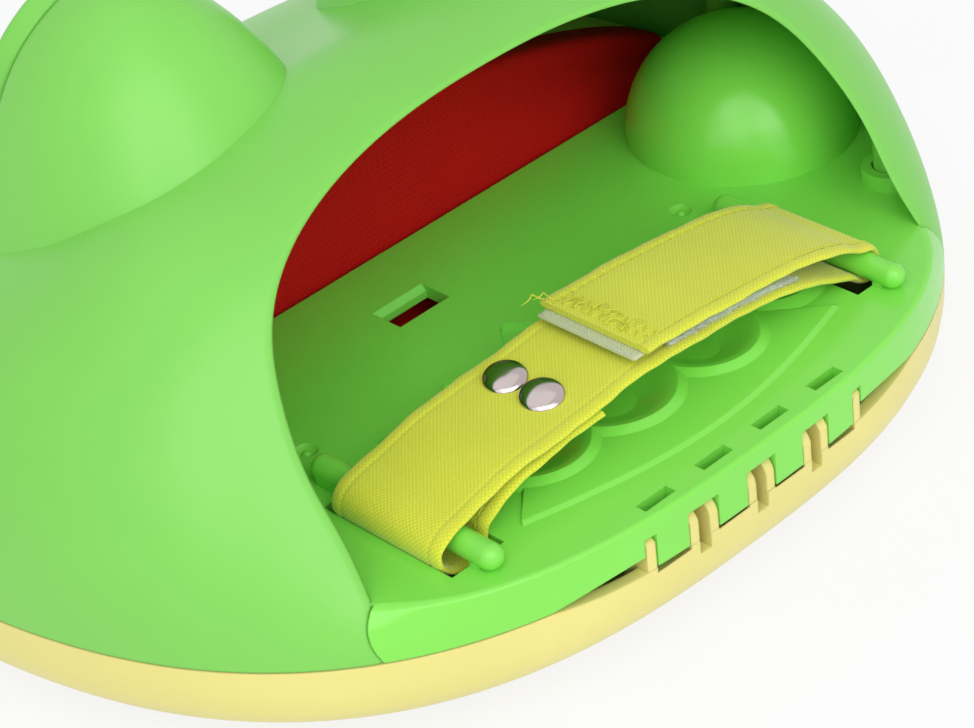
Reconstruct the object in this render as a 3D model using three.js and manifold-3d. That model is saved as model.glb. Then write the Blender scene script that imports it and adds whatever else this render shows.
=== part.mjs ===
// Hand-worn frog-head ball launcher: upper head shell, palm deck, snap-hinged lower jaw,
// elastic mouth fabric, hand strap with a hook-and-loop flap, and eyes. Millimetres, +Z up.
// Shapes are drawn in deck coordinates: X across the head, -Y to the mouth, Z = 0 on the deck top.
// The outer group lifts them so that the jaw foot stands on Z = 0 and the length is centred on Y = 0.
import * as THREE from 'three';
import { mergeVertices } from 'three/addons/utils/BufferGeometryUtils.js';
import Module from 'manifold-3d';

const wasm = await Module();
wasm.setup();

// Head outline in plan, a superellipse with a longer rear half
const HEAD_HALF_WIDTH = 111.5;
const HEAD_REAR_LENGTH = 127;
const HEAD_FRONT_LENGTH = 54;
const HEAD_WIDEST_Y = -64;
const OUTLINE_POWER = 2.68;
const HEAD_FRONT_Y = HEAD_WIDEST_Y - HEAD_FRONT_LENGTH;
const HEAD_REAR_Y = HEAD_WIDEST_Y + HEAD_REAR_LENGTH;

// Head crown above the seam: its side profile as shares of the length and of the crown height
const SEAM_Z = -9.3;
const CROWN_HEIGHT = 70.1;
const SECTION_POWER = 2.2;
const PROFILE_SHARES = [
  [0, 0], [0.008, 0.13], [0.044, 0.3], [0.11, 0.46], [0.193, 0.6], [0.287, 0.71], [0.376, 0.796],
  [0.459, 0.889], [0.541, 0.974], [0.624, 1], [0.685, 0.974], [0.724, 0.917], [0.762, 0.803],
  [0.807, 0.632], [0.845, 0.447], [0.878, 0.304], [0.912, 0.175],
];
const WALL = 2.6;
const GAP = 0.3;
const OVERRUN = 6;

// Places on the head: how far out of its half width, and how far along its rear length
const sidePlace = (share) => HEAD_HALF_WIDTH * share;
const rearPlace = (share) => HEAD_WIDEST_Y + HEAD_REAR_LENGTH * share;

// Hand opening: a slanted plane cuts the head open behind
const ARCH_FOOT_SHARE = 0.8236;
const ARCH_FOOT_Y = rearPlace(ARCH_FOOT_SHARE);
const ARCH_LEAN = 31.8;
const FOOT_SPLAY = 2.9;

// Screw posts that tie the head shell to the deck
const POST_SIDE_SHARE = 0.744;
const POST_REAR_SHARE = 0.701;
const POST_X = sidePlace(POST_SIDE_SHARE);
const POST_Y = rearPlace(POST_REAR_SHARE);
const POST_RADIUS = 3.3;
const COLLAR_RADIUS = 6;
const COLLAR_HEIGHT = 3.2;
const DECK_SCREW_RADIUS = 1.4;
const DECK_SCREW_HEAD_RADIUS = 2.7;
const DECK_SCREW_HEAD_HEIGHT = 1.6;
const DECK_SCREW_LENGTH = 9;
const FRONT_POST_SIDE_SHARE = 0.901;
const FRONT_POST_REAR_SHARE = 0.24;
const FRONT_POST_X = sidePlace(FRONT_POST_SIDE_SHARE);
const FRONT_POST_Y = rearPlace(FRONT_POST_REAR_SHARE);

// Brow bulges: boxy domes that stand on the deck level and swell through the crown
const BULGE_X = 41;
const BULGE_SETBACK = 15.5;
const BULGE_Y = HEAD_WIDEST_Y + BULGE_SETBACK;
const BULGE_PROUD = 17.2;
const BULGE_HALF_WIDTH = 33.5;
const BULGE_HALF_LENGTH = 46;
const BULGE_HEIGHT = SEAM_Z + CROWN_HEIGHT + BULGE_PROUD;
const BULGE_PLAN_POWER = 3.4;
const BULGE_RISE_POWER = 2.1;

// Eyes: a plane that faces forward and up cuts each bulge off, and a ring with the eyeball sits on it
const EYE_X = 39.1;
const EYE_SETBACK = 25.2;
const EYE_Y = HEAD_WIDEST_Y + EYE_SETBACK;
const EYE_DROP = 11.5;
const EYE_Z = SEAM_Z + CROWN_HEIGHT - EYE_DROP;
const EYE_YAW = 4;
const EYE_PITCH = 20;
const EYE_CUT = 21;
const BEZEL_LENGTH = 5;
const BEZEL_RADIUS = 21.5;
const BEZEL_WALL = 2.4;
const BEZEL_ROUND = 0.8;
const EYEBALL_PROUD = 6;
const PUPIL_RADIUS = 8;
const PUPIL_THICKNESS = 0.9;
const NOSTRIL_X = 13;
const NOSTRIL_RADIUS = 3.4;
const NOSTRIL_RISE = 24;
const NOSTRIL_SETBACK = 8;
const NOSTRIL_DEPTH = 1.2;

// Palm deck
const DECK_THICKNESS = 2.8;
const DECK_FRONT_SHARE = 0.208;
const DECK_FRONT_Y = rearPlace(DECK_FRONT_SHARE);
const DECK_EDGE_ROUND = 1.5;
const SKIRT_WALL = 2.2;
const DOME_SIDE_SHARE = 0.733;
const DOME_REAR_SHARE = 0.4063;
const DOME_X = sidePlace(DOME_SIDE_SHARE);
const DOME_Y = rearPlace(DOME_REAR_SHARE);
const DOME_RADIUS = 23.9;
const DOME_WALL = 2.2;
const DOME_SIDE_CLEARANCE = 0.9;
const DIMPLE_SIDE_SHARE = 0.447;
const DIMPLE_REAR_SHARE = 0.5;
const DIMPLE_X = sidePlace(DIMPLE_SIDE_SHARE);
const DIMPLE_Y = rearPlace(DIMPLE_REAR_SHARE);
const DIMPLE_RADIUS = 3.4;
const DIMPLE_DEPTH = 0.9;
const NUB_RADIUS = 0.9;
const SLOT_X = 5.6;
const SLOT_REAR_SHARE = 0.356;
const SLOT_Y = rearPlace(SLOT_REAR_SHARE);
const SLOT_LENGTH = 13;
const SLOT_WIDTH = 6.5;
const SLOT_BEVEL = 1.2;
const REAR_SLOT_LENGTH = 7.5;
const REAR_SLOT_WIDTH = 2.4;
const REAR_SLOT_SETBACK = 4.2;
const REAR_SLOT_Y = HEAD_REAR_Y - REAR_SLOT_SETBACK;

// Middle line of the hand strap
const STRAP_REAR_SHARE = 0.744;
const STRAP_Y = rearPlace(STRAP_REAR_SHARE);

// Sunken field under the strap: round lobes behind, pointed tips in front.
// Lobes are shares across, behind the strap's middle and of radius; tips and valleys across and in front.
const RECESS_DEPTH = 1.4;
const RECESS_HALF_LENGTH = 46.3;
const RECESS_REACH = 32;
const LOBE_SHARES = [
  [-0.93, -0.03, 0.29], [-0.443, 0.063, 0.274], [0.065, 0.016, 0.307], [0.551, 0.016, 0.27],
  [0.929, -0.047, 0.227],
];
const TIP_SHARES = [
  [-1, 0.47], [-0.842, 0.744], [-0.637, 0.5], [-0.432, 0.847], [-0.216, 0.594], [0, 1],
  [0.216, 0.594], [0.432, 0.847], [0.637, 0.5], [0.842, 0.744], [1, 0.47],
];

// Strap bars moulded across openings in the deck
const BAR_X = 53.1;
const BAR_Z = 2.3;
const BAR_RADIUS = 2.5;
const BAR_FRONT_REACH = 24.4;
const BAR_REAR_REACH = 21.6;
const BAR_FRONT_Y = STRAP_Y - BAR_FRONT_REACH;
const BAR_REAR_Y = STRAP_Y + BAR_REAR_REACH;
const BAR_OPENING_WIDTH = 12.4;
const BAR_OPENING_REACH = 16;
const BAR_OPENING_FRONT_Y = STRAP_Y - BAR_OPENING_REACH;
const BAR_OPENING_REAR_Y = STRAP_Y + BAR_OPENING_REACH;

// Snap hinge behind: green tabs with hooks, yellow fins with rods
const AXIS_SETBACK = 3.8;
const AXIS_Y = HEAD_REAR_Y - AXIS_SETBACK;
const AXIS_Z = -7.9;
const TAB_PITCH = 14.9;
const TAB_COUNT = 4;
const TAB_WIDTH = 7.4;
const TAB_DROP = 2.8;
const HOOK_FRONT = 3.4;
const ROD_RADIUS = 1.6;
const ROD_CLEARANCE = 0.3;
const FIN_WIDTH = 2.1;
const FIN_RADIUS = 3.6;
const FIN_SIDE_CLEARANCE = 0.3;
const FIN_SETBACK = 0.1;
const RELIEF_RADIUS = 5;
const FIN_NOTCH_DROP = 6;
const SKIRT_LIP = 3.9;
const CRESCENT_HALF_WIDTH = 48;
const CRESCENT_SKIRT_RISE = 1.8;
const CRESCENT_RIM_DROP = 1.4;

// Lower jaw bowl
const JAW_DEPTH = 24;
const JAW_POWER = 4;
const JAW_FOOT_SHARE = 0.975;
const JAW_WALL = 2.5;
const JAW_RING_SHARES = [0.93, 0.85, 0.72, 0.5, 0.25, 0];

// Palate, a vault that holds the top edge of the mouth fabric
const PALATE_REAR_Y = -47;
const PALATE_HEIGHT = 33.5;
const PALATE_POWER = 1.65;
const PALATE_RISE_POWER = 0.45;
const PALATE_WALL = 2.2;
const PALATE_CLEARANCE = 0.4;
const CLAMP_WIDTH = 12;
const CLAMP_THICKNESS = 1.8;
const CLAMP_SCREW_RADIUS = 1.2;
const CLAMP_SCREW_HEAD_RADIUS = 2.3;
const CLAMP_SCREW_HEAD_HEIGHT = 1.2;
const CLAMP_SCREW_INSET = 3;
const SCREW_TAPER_SHARE = 0.7;

// Mouth fabric and the bar that clamps its lower edge to the jaw floor
const FABRIC_THICKNESS = 1;
const FABRIC_CLEARANCE = 1.3;
const FABRIC_SIDE_ROOM = 25.5;
const FABRIC_HALF_WIDTH = HEAD_HALF_WIDTH - FABRIC_SIDE_ROOM;
const FABRIC_HELD = 6;
const FABRIC_FRONT_GAP = 2;
const FABRIC_POCKET_Y = -14;
const FABRIC_POCKET_Z = -14.5;
const FABRIC_HANG_SHARE = 0.45;
const FABRIC_SAG_SHARE = 0.62;
const RIDGE_Y = -62;
const RIDGE_WIDTH = 12;
const RIDGE_END_ROOM = 45.5;
const RIDGE_HALF_LENGTH = HEAD_HALF_WIDTH - RIDGE_END_ROOM;
const RIDGE_TOP_Z = -27.6;
const LOWER_CLAMP_THICKNESS = 2;
const LOWER_SCREW_END_ROOM = 16;
const LOWER_SCREW_X = RIDGE_HALF_LENGTH - LOWER_SCREW_END_ROOM;
const LOWER_SCREW_SHARES = [-1, -0.35, 0.35, 1];

// Hand strap, hook-and-loop flap and rivets
const STRAP_WIDTH = 27;
const STRAP_THICKNESS = 1.2;
const STRAP_RISE = 9.4;
const FLAP_RISE = 12.8;
const LOOP_THICKNESS = 0.8;
const HOOK_THICKNESS = 0.6;
const HOOK_WIDTH = 24;
const FLAP_END_X = 6;
// Side lines of the strap's layers as shares of the bar distance and of the rise above the deck
const STRAP_UNDER_SHARES = [[0.34, 0.74], [0.56, 0.68], [0.76, 0.55], [0.9, 0.25]];
const STRAP_OVER_SHARES = [
  [0.93, 0.6], [0.76, 0.78], [0.56, 0.85], [0.34, 0.91], [0.1, 1], [-0.22, 0.9], [-0.45, 0.79],
  [-0.66, 0.6], [-0.86, 0.24],
];
const FLAP_SHARES = [[-0.9, 0.54], [-0.76, 0.69], [-0.58, 0.8], [-0.4, 0.87], [-0.2, 0.94], [0, 0.985]];
// Degrees round the bars: the strap's wrap, its rolled end and the flap's rolled end
const WRAP_START = 215;
const WRAP_END = 440;
const HEM_START = -20;
const HEM_END = -95;
const FLAP_WRAP_START = 180;
const FLAP_WRAP_END = 75;
const LOOP_REAR_SHARE = -0.66;
const HOOK_REAR_SHARE = -0.3;
const RIVET_X = 23;
const RIVET_REACH = 5.8;
const RIVET_FRONT_Y = STRAP_Y - RIVET_REACH;
const RIVET_PITCH = 9;
const RIVET_RADIUS = 4.15;
const RIVET_DOME = 1.5;
const RIVET_SEAT_SHARE = 0.94;
const RIVET_EDGE_SHARE = 0.2;
const RIVET_SHANK_RADIUS = 1.4;
const RIVET_BACK_RADIUS = 3.4;
const RIVET_BACK_THICKNESS = 0.8;

// Facet counts
const FRONT_RINGS = 6;
const REAR_RINGS = 8;
const HEAD_STEPS = 16;
const PALATE_RINGS = 8;
const OUTLINE_STEPS = 40;
const ROUND_STEPS = 10;
const BULGE_STEPS = 28;
const EDGE_STEPS = 2;
const STRAP_STEPS = 16;
const WRAP_STEPS = 8;
const FABRIC_STEPS_ACROSS = 12;
const FABRIC_STEPS_ALONG = 14;
const DOME_STEPS = 4;

// The eyeball fills the bezel and stands proud of it
const EYE_SECTION = BEZEL_RADIUS - BEZEL_WALL - GAP;
const EYE_RISE = BEZEL_LENGTH + EYEBALL_PROUD;
const EYEBALL_RADIUS = (EYE_SECTION ** 2 + EYE_RISE ** 2) / (2 * EYE_RISE);
const EYEBALL_CENTRE = EYE_CUT + GAP + EYE_RISE - EYEBALL_RADIUS;

const FOOT_DEPTH = -(SEAM_Z - GAP) + JAW_DEPTH * JAW_FOOT_SHARE;
const MID_Y = (HEAD_FRONT_Y + HEAD_REAR_Y) / 2;

const COLOURS = {
  shell: [0x78d24a, 0.36, 0], deck: [0x5cc832, 0.22, 0], jaw: [0xeee28c, 0.4, 0],
  strap: [0xcdd42c, 0.85, 0], fabric: [0xa5141a, 0.9, 0], chrome: [0xd9d9dc, 0.12, 1],
  pile: [0xd8dcd6, 0.95, 0], hook: [0xe6ebe6, 0.5, 0], eye: [0xf2f2e6, 0.12, 0],
  pupil: [0x101010, 0.12, 0], steel: [0x9a9a9c, 0.35, 1],
};

// Mesh helpers

function material(name) {
  const [color, roughness, metalness] = COLOURS[name];
  return new THREE.MeshStandardMaterial({ color, roughness, metalness });
}

function solid(geometry) {
  const bare = geometry.index ? geometry.clone() : geometry;
  bare.deleteAttribute('normal');
  bare.deleteAttribute('uv');
  const merged = mergeVertices(bare, 1e-4);
  const triVerts = [];
  const index = merged.index.array;
  for (let i = 0; i < index.length; i += 3) {
    const [a, b, c] = [index[i], index[i + 1], index[i + 2]];
    if (a !== b && b !== c && a !== c) triVerts.push(a, b, c);
  }
  return new wasm.Manifold(new wasm.Mesh({
    numProp: 3,
    vertProperties: new Float32Array(merged.attributes.position.array),
    triVerts: new Uint32Array(triVerts),
  }));
}

function toMesh(name, manifold, look) {
  const { vertProperties, triVerts, numProp } = manifold.getMesh();
  const points = [];
  for (let i = 0; i < vertProperties.length; i += numProp) {
    points.push(vertProperties[i], vertProperties[i + 1], vertProperties[i + 2]);
  }
  const geometry = new THREE.BufferGeometry();
  geometry.setAttribute('position', new THREE.Float32BufferAttribute(points, 3));
  geometry.setIndex(Array.from(triVerts));
  geometry.computeVertexNormals();
  const mesh = new THREE.Mesh(geometry, material(look));
  mesh.name = name;
  return mesh;
}

// Closed solid through rings of equal point count, each counter-clockwise about the way they follow
function loft(rings, startPoint, endPoint) {
  const count = rings[0].length;
  const points = rings.flat();
  const index = [];
  for (let i = 0; i + 1 < rings.length; i++) {
    for (let j = 0; j < count; j++) {
      const k = (j + 1) % count;
      const [a, b, c, d] = [i * count + j, i * count + k, (i + 1) * count + k, (i + 1) * count + j];
      index.push(a, b, c, a, c, d);
    }
  }
  const mean = (ring) => ring.reduce((sum, p) => sum.add(p), new THREE.Vector3()).divideScalar(count);
  const first = points.push(startPoint ?? mean(rings[0])) - 1;
  const last = points.push(endPoint ?? mean(rings.at(-1))) - 1;
  const top = (rings.length - 1) * count;
  for (let j = 0; j < count; j++) {
    const k = (j + 1) % count;
    index.push(first, k, j, last, top + j, top + k);
  }
  const geometry = new THREE.BufferGeometry();
  geometry.setAttribute('position',
    new THREE.Float32BufferAttribute(points.flatMap((p) => [p.x, p.y, p.z]), 3));
  geometry.setIndex(index);
  return solid(geometry);
}

function block(x0, x1, y0, y1, z0, z1) {
  const geometry = new THREE.BoxGeometry(x1 - x0, y1 - y0, z1 - z0);
  return solid(geometry.translate((x0 + x1) / 2, (y0 + y1) / 2, (z0 + z1) / 2));
}

function upright(x, y, z0, z1, radius, topRadius = radius, steps = ROUND_STEPS) {
  const geometry = new THREE.CylinderGeometry(topRadius, radius, z1 - z0, steps);
  return solid(geometry.rotateX(Math.PI / 2).translate(x, y, (z0 + z1) / 2));
}

function barAlongX(x0, x1, y, z, radius) {
  const geometry = new THREE.CylinderGeometry(radius, radius, x1 - x0, ROUND_STEPS);
  return solid(geometry.rotateZ(Math.PI / 2).translate((x0 + x1) / 2, y, z));
}

function ball(x, y, z, rx, ry = rx, rz = rx, steps = 2 * ROUND_STEPS) {
  const geometry = new THREE.SphereGeometry(1, steps, steps / 2);
  return solid(geometry.scale(rx, ry, rz).translate(x, y, z));
}

// Solid of a closed outline in X and Z, pushed along Y
function slabAlongY(outline, y0, y1) {
  const shape = new THREE.Shape(outline);
  const geometry = new THREE.ExtrudeGeometry(shape, { depth: y1 - y0, bevelEnabled: false });
  return solid(geometry.rotateX(Math.PI / 2).translate(0, y1, 0));
}

// Solid of a closed outline in X and Y, pushed along Z
function slabAlongZ(outline, z0, z1) {
  const shape = new THREE.Shape(outline);
  const geometry = new THREE.ExtrudeGeometry(shape, { depth: z1 - z0, bevelEnabled: false });
  return solid(geometry.translate(0, 0, z0));
}

// Solid of a closed outline in Y and Z, pushed along X
function slabAlongX(outline, x0, x1) {
  const shape = new THREE.Shape(outline);
  const geometry = new THREE.ExtrudeGeometry(shape, { depth: x1 - x0, bevelEnabled: false });
  return solid(geometry.rotateX(Math.PI / 2).rotateZ(Math.PI / 2).translate(x0, 0, 0));
}

const point = (x, y) => new THREE.Vector2(x, y);

// Height of a line of points at the given place along it
function heightAt(line, x) {
  for (let i = 0; i + 1 < line.length; i++) {
    const [a, b] = [line[i], line[i + 1]];
    if ((a.x - x) * (b.x - x) <= 0 && a.x !== b.x) return a.y + ((b.y - a.y) * (x - a.x)) / (b.x - a.x);
  }
  return line[0].y;
}

// Head form

const signedPower = (value, power) => Math.sign(value) * Math.abs(value) ** power;

function outlineHalfWidth(y, inset = 0) {
  const half = y > HEAD_WIDEST_Y ? HEAD_REAR_LENGTH : HEAD_FRONT_LENGTH;
  const share = Math.min(Math.abs(y - HEAD_WIDEST_Y) / (half - inset), 1);
  return (HEAD_HALF_WIDTH - inset) * (1 - share ** OUTLINE_POWER) ** (1 / OUTLINE_POWER);
}

function outlineRing(z, inset = 0, scale = 1) {
  const ring = [];
  for (let i = 0; i < OUTLINE_STEPS; i++) {
    const angle = (2 * Math.PI * i) / OUTLINE_STEPS;
    const half = (Math.sin(angle) > 0 ? HEAD_REAR_LENGTH : HEAD_FRONT_LENGTH) - inset;
    const x = (HEAD_HALF_WIDTH - inset) * scale * signedPower(Math.cos(angle), 2 / OUTLINE_POWER);
    const y = HEAD_WIDEST_Y + half * scale * signedPower(Math.sin(angle), 2 / OUTLINE_POWER);
    ring.push(new THREE.Vector3(x, y, z));
  }
  return ring;
}

const profileCurve = new THREE.SplineCurve(PROFILE_SHARES.map(([along, up]) => point(
  HEAD_FRONT_Y + along * (HEAD_REAR_Y - HEAD_FRONT_Y), SEAM_Z + up * CROWN_HEIGHT,
)));

const profilePoints = profileCurve.getPoints(PROFILE_SHARES.length * HEAD_STEPS);

function profileTop(y) {
  return heightAt(profilePoints, y);
}

// Sections of the head: crowded at the blunt front, evenly spaced behind its widest place
function sectionYs() {
  const ys = [];
  for (let i = 1; i <= FRONT_RINGS; i++) {
    const angle = (Math.PI / 2) * (1 - i / FRONT_RINGS);
    ys.push(HEAD_WIDEST_Y - HEAD_FRONT_LENGTH * Math.sin(angle) ** (2 / OUTLINE_POWER));
  }
  const last = profilePoints.at(-1).x;
  for (let i = 1; i <= REAR_RINGS; i++) {
    ys.push(HEAD_WIDEST_Y + ((last - HEAD_WIDEST_Y) * i) / REAR_RINGS);
  }
  return ys;
}

// Head body of arched cross-sections; the inset body is the head's inside
function headBody(inset, baseZ) {
  const squeeze = (HEAD_FRONT_LENGTH - inset) / HEAD_FRONT_LENGTH;
  const rings = sectionYs().map((at) => {
    const y = at < HEAD_WIDEST_Y ? HEAD_WIDEST_Y + (at - HEAD_WIDEST_Y) * squeeze : at;
    const top = Math.max(profileTop(at) - inset, SEAM_Z + GAP);
    return archRing(y, outlineHalfWidth(y, inset), top, SECTION_POWER, baseZ);
  });
  return loft(rings, new THREE.Vector3(0, HEAD_FRONT_Y + inset, SEAM_Z));
}

function archRing(y, halfWidth, topZ, power, baseZ) {
  const ring = [];
  for (let i = 0; i <= HEAD_STEPS; i++) {
    const angle = (Math.PI * i) / HEAD_STEPS;
    const x = halfWidth * signedPower(Math.cos(angle), 2 / power);
    const z = SEAM_Z + (topZ - SEAM_Z) * Math.abs(Math.sin(angle)) ** (2 / power);
    ring.push(new THREE.Vector3(x, y, z));
  }
  if (baseZ < SEAM_Z) {
    ring.push(new THREE.Vector3(-halfWidth, y, baseZ), new THREE.Vector3(halfWidth, y, baseZ));
  }
  return ring.reverse();
}

// Everything behind the slanted hand opening; gap moves the cut forward
function behindArch(gap = 0) {
  const slope = Math.tan(THREE.MathUtils.degToRad(ARCH_LEAN));
  const high = CROWN_HEIGHT + OVERRUN;
  const low = SEAM_Z - OVERRUN;
  return slabAlongX([
    point(ARCH_FOOT_Y + FOOT_SPLAY - gap, low), point(HEAD_REAR_Y + OVERRUN, low),
    point(HEAD_REAR_Y + OVERRUN, high), point(ARCH_FOOT_Y - gap - slope * high, high),
    point(ARCH_FOOT_Y - gap, 0), point(ARCH_FOOT_Y + FOOT_SPLAY - gap, SEAM_Z),
  ], -HEAD_HALF_WIDTH - OVERRUN, HEAD_HALF_WIDTH + OVERRUN);
}

// Eye placement: local +Z looks forward, outward and up
function placeAtEye(manifoldOrGeometry, side) {
  const yaw = THREE.MathUtils.degToRad(EYE_YAW);
  const pitch = THREE.MathUtils.degToRad(EYE_PITCH);
  const look = new THREE.Vector3(
    side * Math.sin(yaw) * Math.cos(pitch), -Math.cos(yaw) * Math.cos(pitch), Math.sin(pitch));
  const turn = new THREE.Quaternion().setFromUnitVectors(new THREE.Vector3(0, 0, 1), look);
  const place = new THREE.Matrix4().compose(
    new THREE.Vector3(side * EYE_X, EYE_Y, EYE_Z), turn, new THREE.Vector3(1, 1, 1));
  return manifoldOrGeometry.applyMatrix4(place);
}

function eyeRevolve(profile, side) {
  const geometry = new THREE.LatheGeometry(profile, 2 * ROUND_STEPS);
  return solid(placeAtEye(geometry.rotateX(Math.PI / 2), side));
}

function beyondEyeCut(side, distance) {
  const reach = 2 * BULGE_HEIGHT;
  const geometry = new THREE.BoxGeometry(reach, reach, reach);
  return solid(placeAtEye(geometry.translate(0, 0, distance + reach / 2), side));
}

// Boxy dome: superellipses in plan and in rise
function bulgeForm(side, inset) {
  const geometry = new THREE.SphereGeometry(1, BULGE_STEPS, BULGE_STEPS / 2).rotateX(Math.PI / 2);
  const at = geometry.attributes.position;
  for (let i = 0; i < at.count; i++) {
    const [x, y, z] = [at.getX(i), at.getY(i), at.getZ(i)];
    const out = Math.hypot(x, y);
    const spread = out ** (2 / BULGE_RISE_POWER);
    const across = signedPower(x / Math.max(out, Number.EPSILON), 2 / BULGE_PLAN_POWER);
    const along = signedPower(y / Math.max(out, Number.EPSILON), 2 / BULGE_PLAN_POWER);
    at.setXYZ(i, (BULGE_HALF_WIDTH - inset) * spread * across, (BULGE_HALF_LENGTH - inset) * spread * along,
      (BULGE_HEIGHT - inset) * signedPower(z, 2 / BULGE_RISE_POWER));
  }
  return solid(geometry.translate(side * BULGE_X, BULGE_Y, 0));
}

// The bulge ends in a flat face, and a round neck through that face carries the bezel
function eyeBulge(side, inset, face, reach) {
  const radius = BEZEL_RADIUS - inset;
  const neck = eyeRevolve([
    point(0, 0), point(radius, 0), point(radius, reach), point(0, reach),
  ], side);
  const above = block(-HEAD_HALF_WIDTH, HEAD_HALF_WIDTH, HEAD_FRONT_Y, HEAD_REAR_Y, SEAM_Z, 2 * BULGE_HEIGHT);
  return bulgeForm(side, inset).intersect(above).subtract(beyondEyeCut(side, face)).add(neck);
}

function post(x, y) {
  return upright(x, y, GAP, CROWN_HEIGHT, POST_RADIUS);
}

function upperShell() {
  let outer = headBody(0, SEAM_Z);
  let inner = headBody(WALL, SEAM_Z - OVERRUN);
  for (const side of [-1, 1]) {
    outer = outer.add(eyeBulge(side, 0, EYE_CUT, EYE_CUT));
    inner = inner.add(eyeBulge(side, WALL, EYE_CUT - WALL, EYE_CUT + OVERRUN));
  }
  let shell = outer.subtract(inner).subtract(behindArch(0));
  const bounds = headBody(WALL / 2, SEAM_Z).subtract(behindArch(-OVERRUN));
  for (const side of [-1, 1]) {
    shell = shell.subtract(eyeSocket(side));
    for (const [x, y] of [[POST_X, POST_Y], [FRONT_POST_X, FRONT_POST_Y]]) {
      shell = shell.add(post(side * x, y).intersect(bounds));
      shell = shell.subtract(upright(side * x, y, 0, DECK_SCREW_LENGTH, DECK_SCREW_RADIUS + GAP / 2));
    }
  }
  return shell.subtract(nostrils());
}

// Room for the bezel and the eyeball where they dip into the forehead
function eyeSocket(side) {
  const room = BEZEL_RADIUS + GAP;
  const far = EYE_CUT + BEZEL_LENGTH + 2 * GAP;
  const ring = eyeRevolve([
    point(0, EYE_CUT), point(room, EYE_CUT), point(room, far), point(0, far),
  ], side);
  const swell = eyeArc(EYEBALL_RADIUS + PUPIL_THICKNESS + 2 * GAP, EYE_SECTION, 0);
  return ring.add(eyeRevolve([point(0, EYE_CUT), point(EYE_SECTION, EYE_CUT), ...swell], side));
}

function nostrils() {
  const y = HEAD_FRONT_Y + NOSTRIL_SETBACK;
  let cuts = null;
  for (const side of [-1, 1]) {
    const cut = ball(side * NOSTRIL_X, y, SEAM_Z + NOSTRIL_RISE + NOSTRIL_DEPTH,
      NOSTRIL_RADIUS, NOSTRIL_RADIUS, NOSTRIL_RADIUS, ROUND_STEPS);
    cuts = cuts ? cuts.add(cut) : cut;
  }
  return cuts;
}

// Eyes

function eyeBezel(side) {
  const inner = BEZEL_RADIUS - BEZEL_WALL;
  const back = EYE_CUT + GAP;
  const front = back + BEZEL_LENGTH;
  const round = BEZEL_ROUND;
  return eyeRevolve([
    point(inner, back), point(BEZEL_RADIUS - round, back), point(BEZEL_RADIUS, back + round),
    point(BEZEL_RADIUS - round, front - round), point(BEZEL_RADIUS - 2 * round, front),
    point(inner, front - round), point(inner, back),
  ], side);
}

// Arc about the eyeball's centre between two distances from the look axis
function eyeArc(radius, fromOut, toOut) {
  const arc = [];
  for (let i = 0; i <= DOME_STEPS; i++) {
    const out = fromOut + ((toOut - fromOut) * i) / DOME_STEPS;
    arc.push(point(out, EYEBALL_CENTRE + Math.sqrt(radius ** 2 - out ** 2)));
  }
  return arc;
}

function eyeball(side) {
  return eyeRevolve([point(0, EYE_CUT + GAP), ...eyeArc(EYEBALL_RADIUS, EYE_SECTION, 0)], side);
}

function pupil(side) {
  const back = eyeArc(EYEBALL_RADIUS + GAP, 0, PUPIL_RADIUS);
  const front = eyeArc(EYEBALL_RADIUS + GAP + PUPIL_THICKNESS, PUPIL_RADIUS, 0);
  return eyeRevolve([...back, ...front], side);
}

// Palm deck

function deckPlate() {
  const rings = [outlineRing(SEAM_Z)];
  for (let i = 0; i <= EDGE_STEPS; i++) {
    const angle = (Math.PI * i) / (2 * EDGE_STEPS);
    rings.push(outlineRing(DECK_EDGE_ROUND * (Math.sin(angle) - 1), DECK_EDGE_ROUND * (1 - Math.cos(angle))));
  }
  const rear = loft(rings).intersect(behindArch(-GAP));
  const hollow = loft([
    outlineRing(SEAM_Z - OVERRUN, SKIRT_WALL), outlineRing(-DECK_THICKNESS, SKIRT_WALL),
  ]);
  const slab = block(-HEAD_HALF_WIDTH, HEAD_HALF_WIDTH, DECK_FRONT_Y, HEAD_REAR_Y, -DECK_THICKNESS, 0);
  const inside = headBody(WALL + GAP, SEAM_Z);
  return slab.intersect(inside).add(rear.subtract(hollow));
}

function dome(side, inset) {
  const sphere = ball(side * DOME_X, DOME_Y, 0, DOME_RADIUS - inset);
  const above = block(-HEAD_HALF_WIDTH, HEAD_HALF_WIDTH, HEAD_FRONT_Y, HEAD_REAR_Y,
    inset > 0 ? -DECK_THICKNESS - GAP : -DECK_THICKNESS, DOME_RADIUS + OVERRUN);
  const drum = upright(side * DOME_X, DOME_Y, -DECK_THICKNESS - GAP, 0, DOME_RADIUS - inset);
  const form = inset > 0 ? sphere.add(drum) : sphere;
  const room = headBody(WALL + DOME_SIDE_CLEARANCE + inset, SEAM_Z - OVERRUN);
  return form.intersect(above).intersect(room);
}

function recess() {
  const across = (share) => share * RECESS_HALF_LENGTH;
  const tips = TIP_SHARES.map(([x, y]) => point(across(x), STRAP_Y - RECESS_REACH * y));
  const corners = [point(RECESS_HALF_LENGTH, STRAP_Y), point(-RECESS_HALF_LENGTH, STRAP_Y)];
  let field = slabAlongZ([...tips, ...corners], -RECESS_DEPTH, OVERRUN);
  for (const [x, y, r] of LOBE_SHARES) {
    field = field.add(upright(across(x), STRAP_Y + RECESS_REACH * y, -RECESS_DEPTH, OVERRUN,
      across(r), across(r), 2 * ROUND_STEPS));
  }
  const half = Math.min(RECESS_HALF_LENGTH, BAR_X - BAR_OPENING_WIDTH / 2 - GAP);
  return field.intersect(block(-half, half, STRAP_Y - 2 * RECESS_REACH, STRAP_Y + RECESS_REACH,
    -2 * RECESS_DEPTH, OVERRUN));
}

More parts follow.
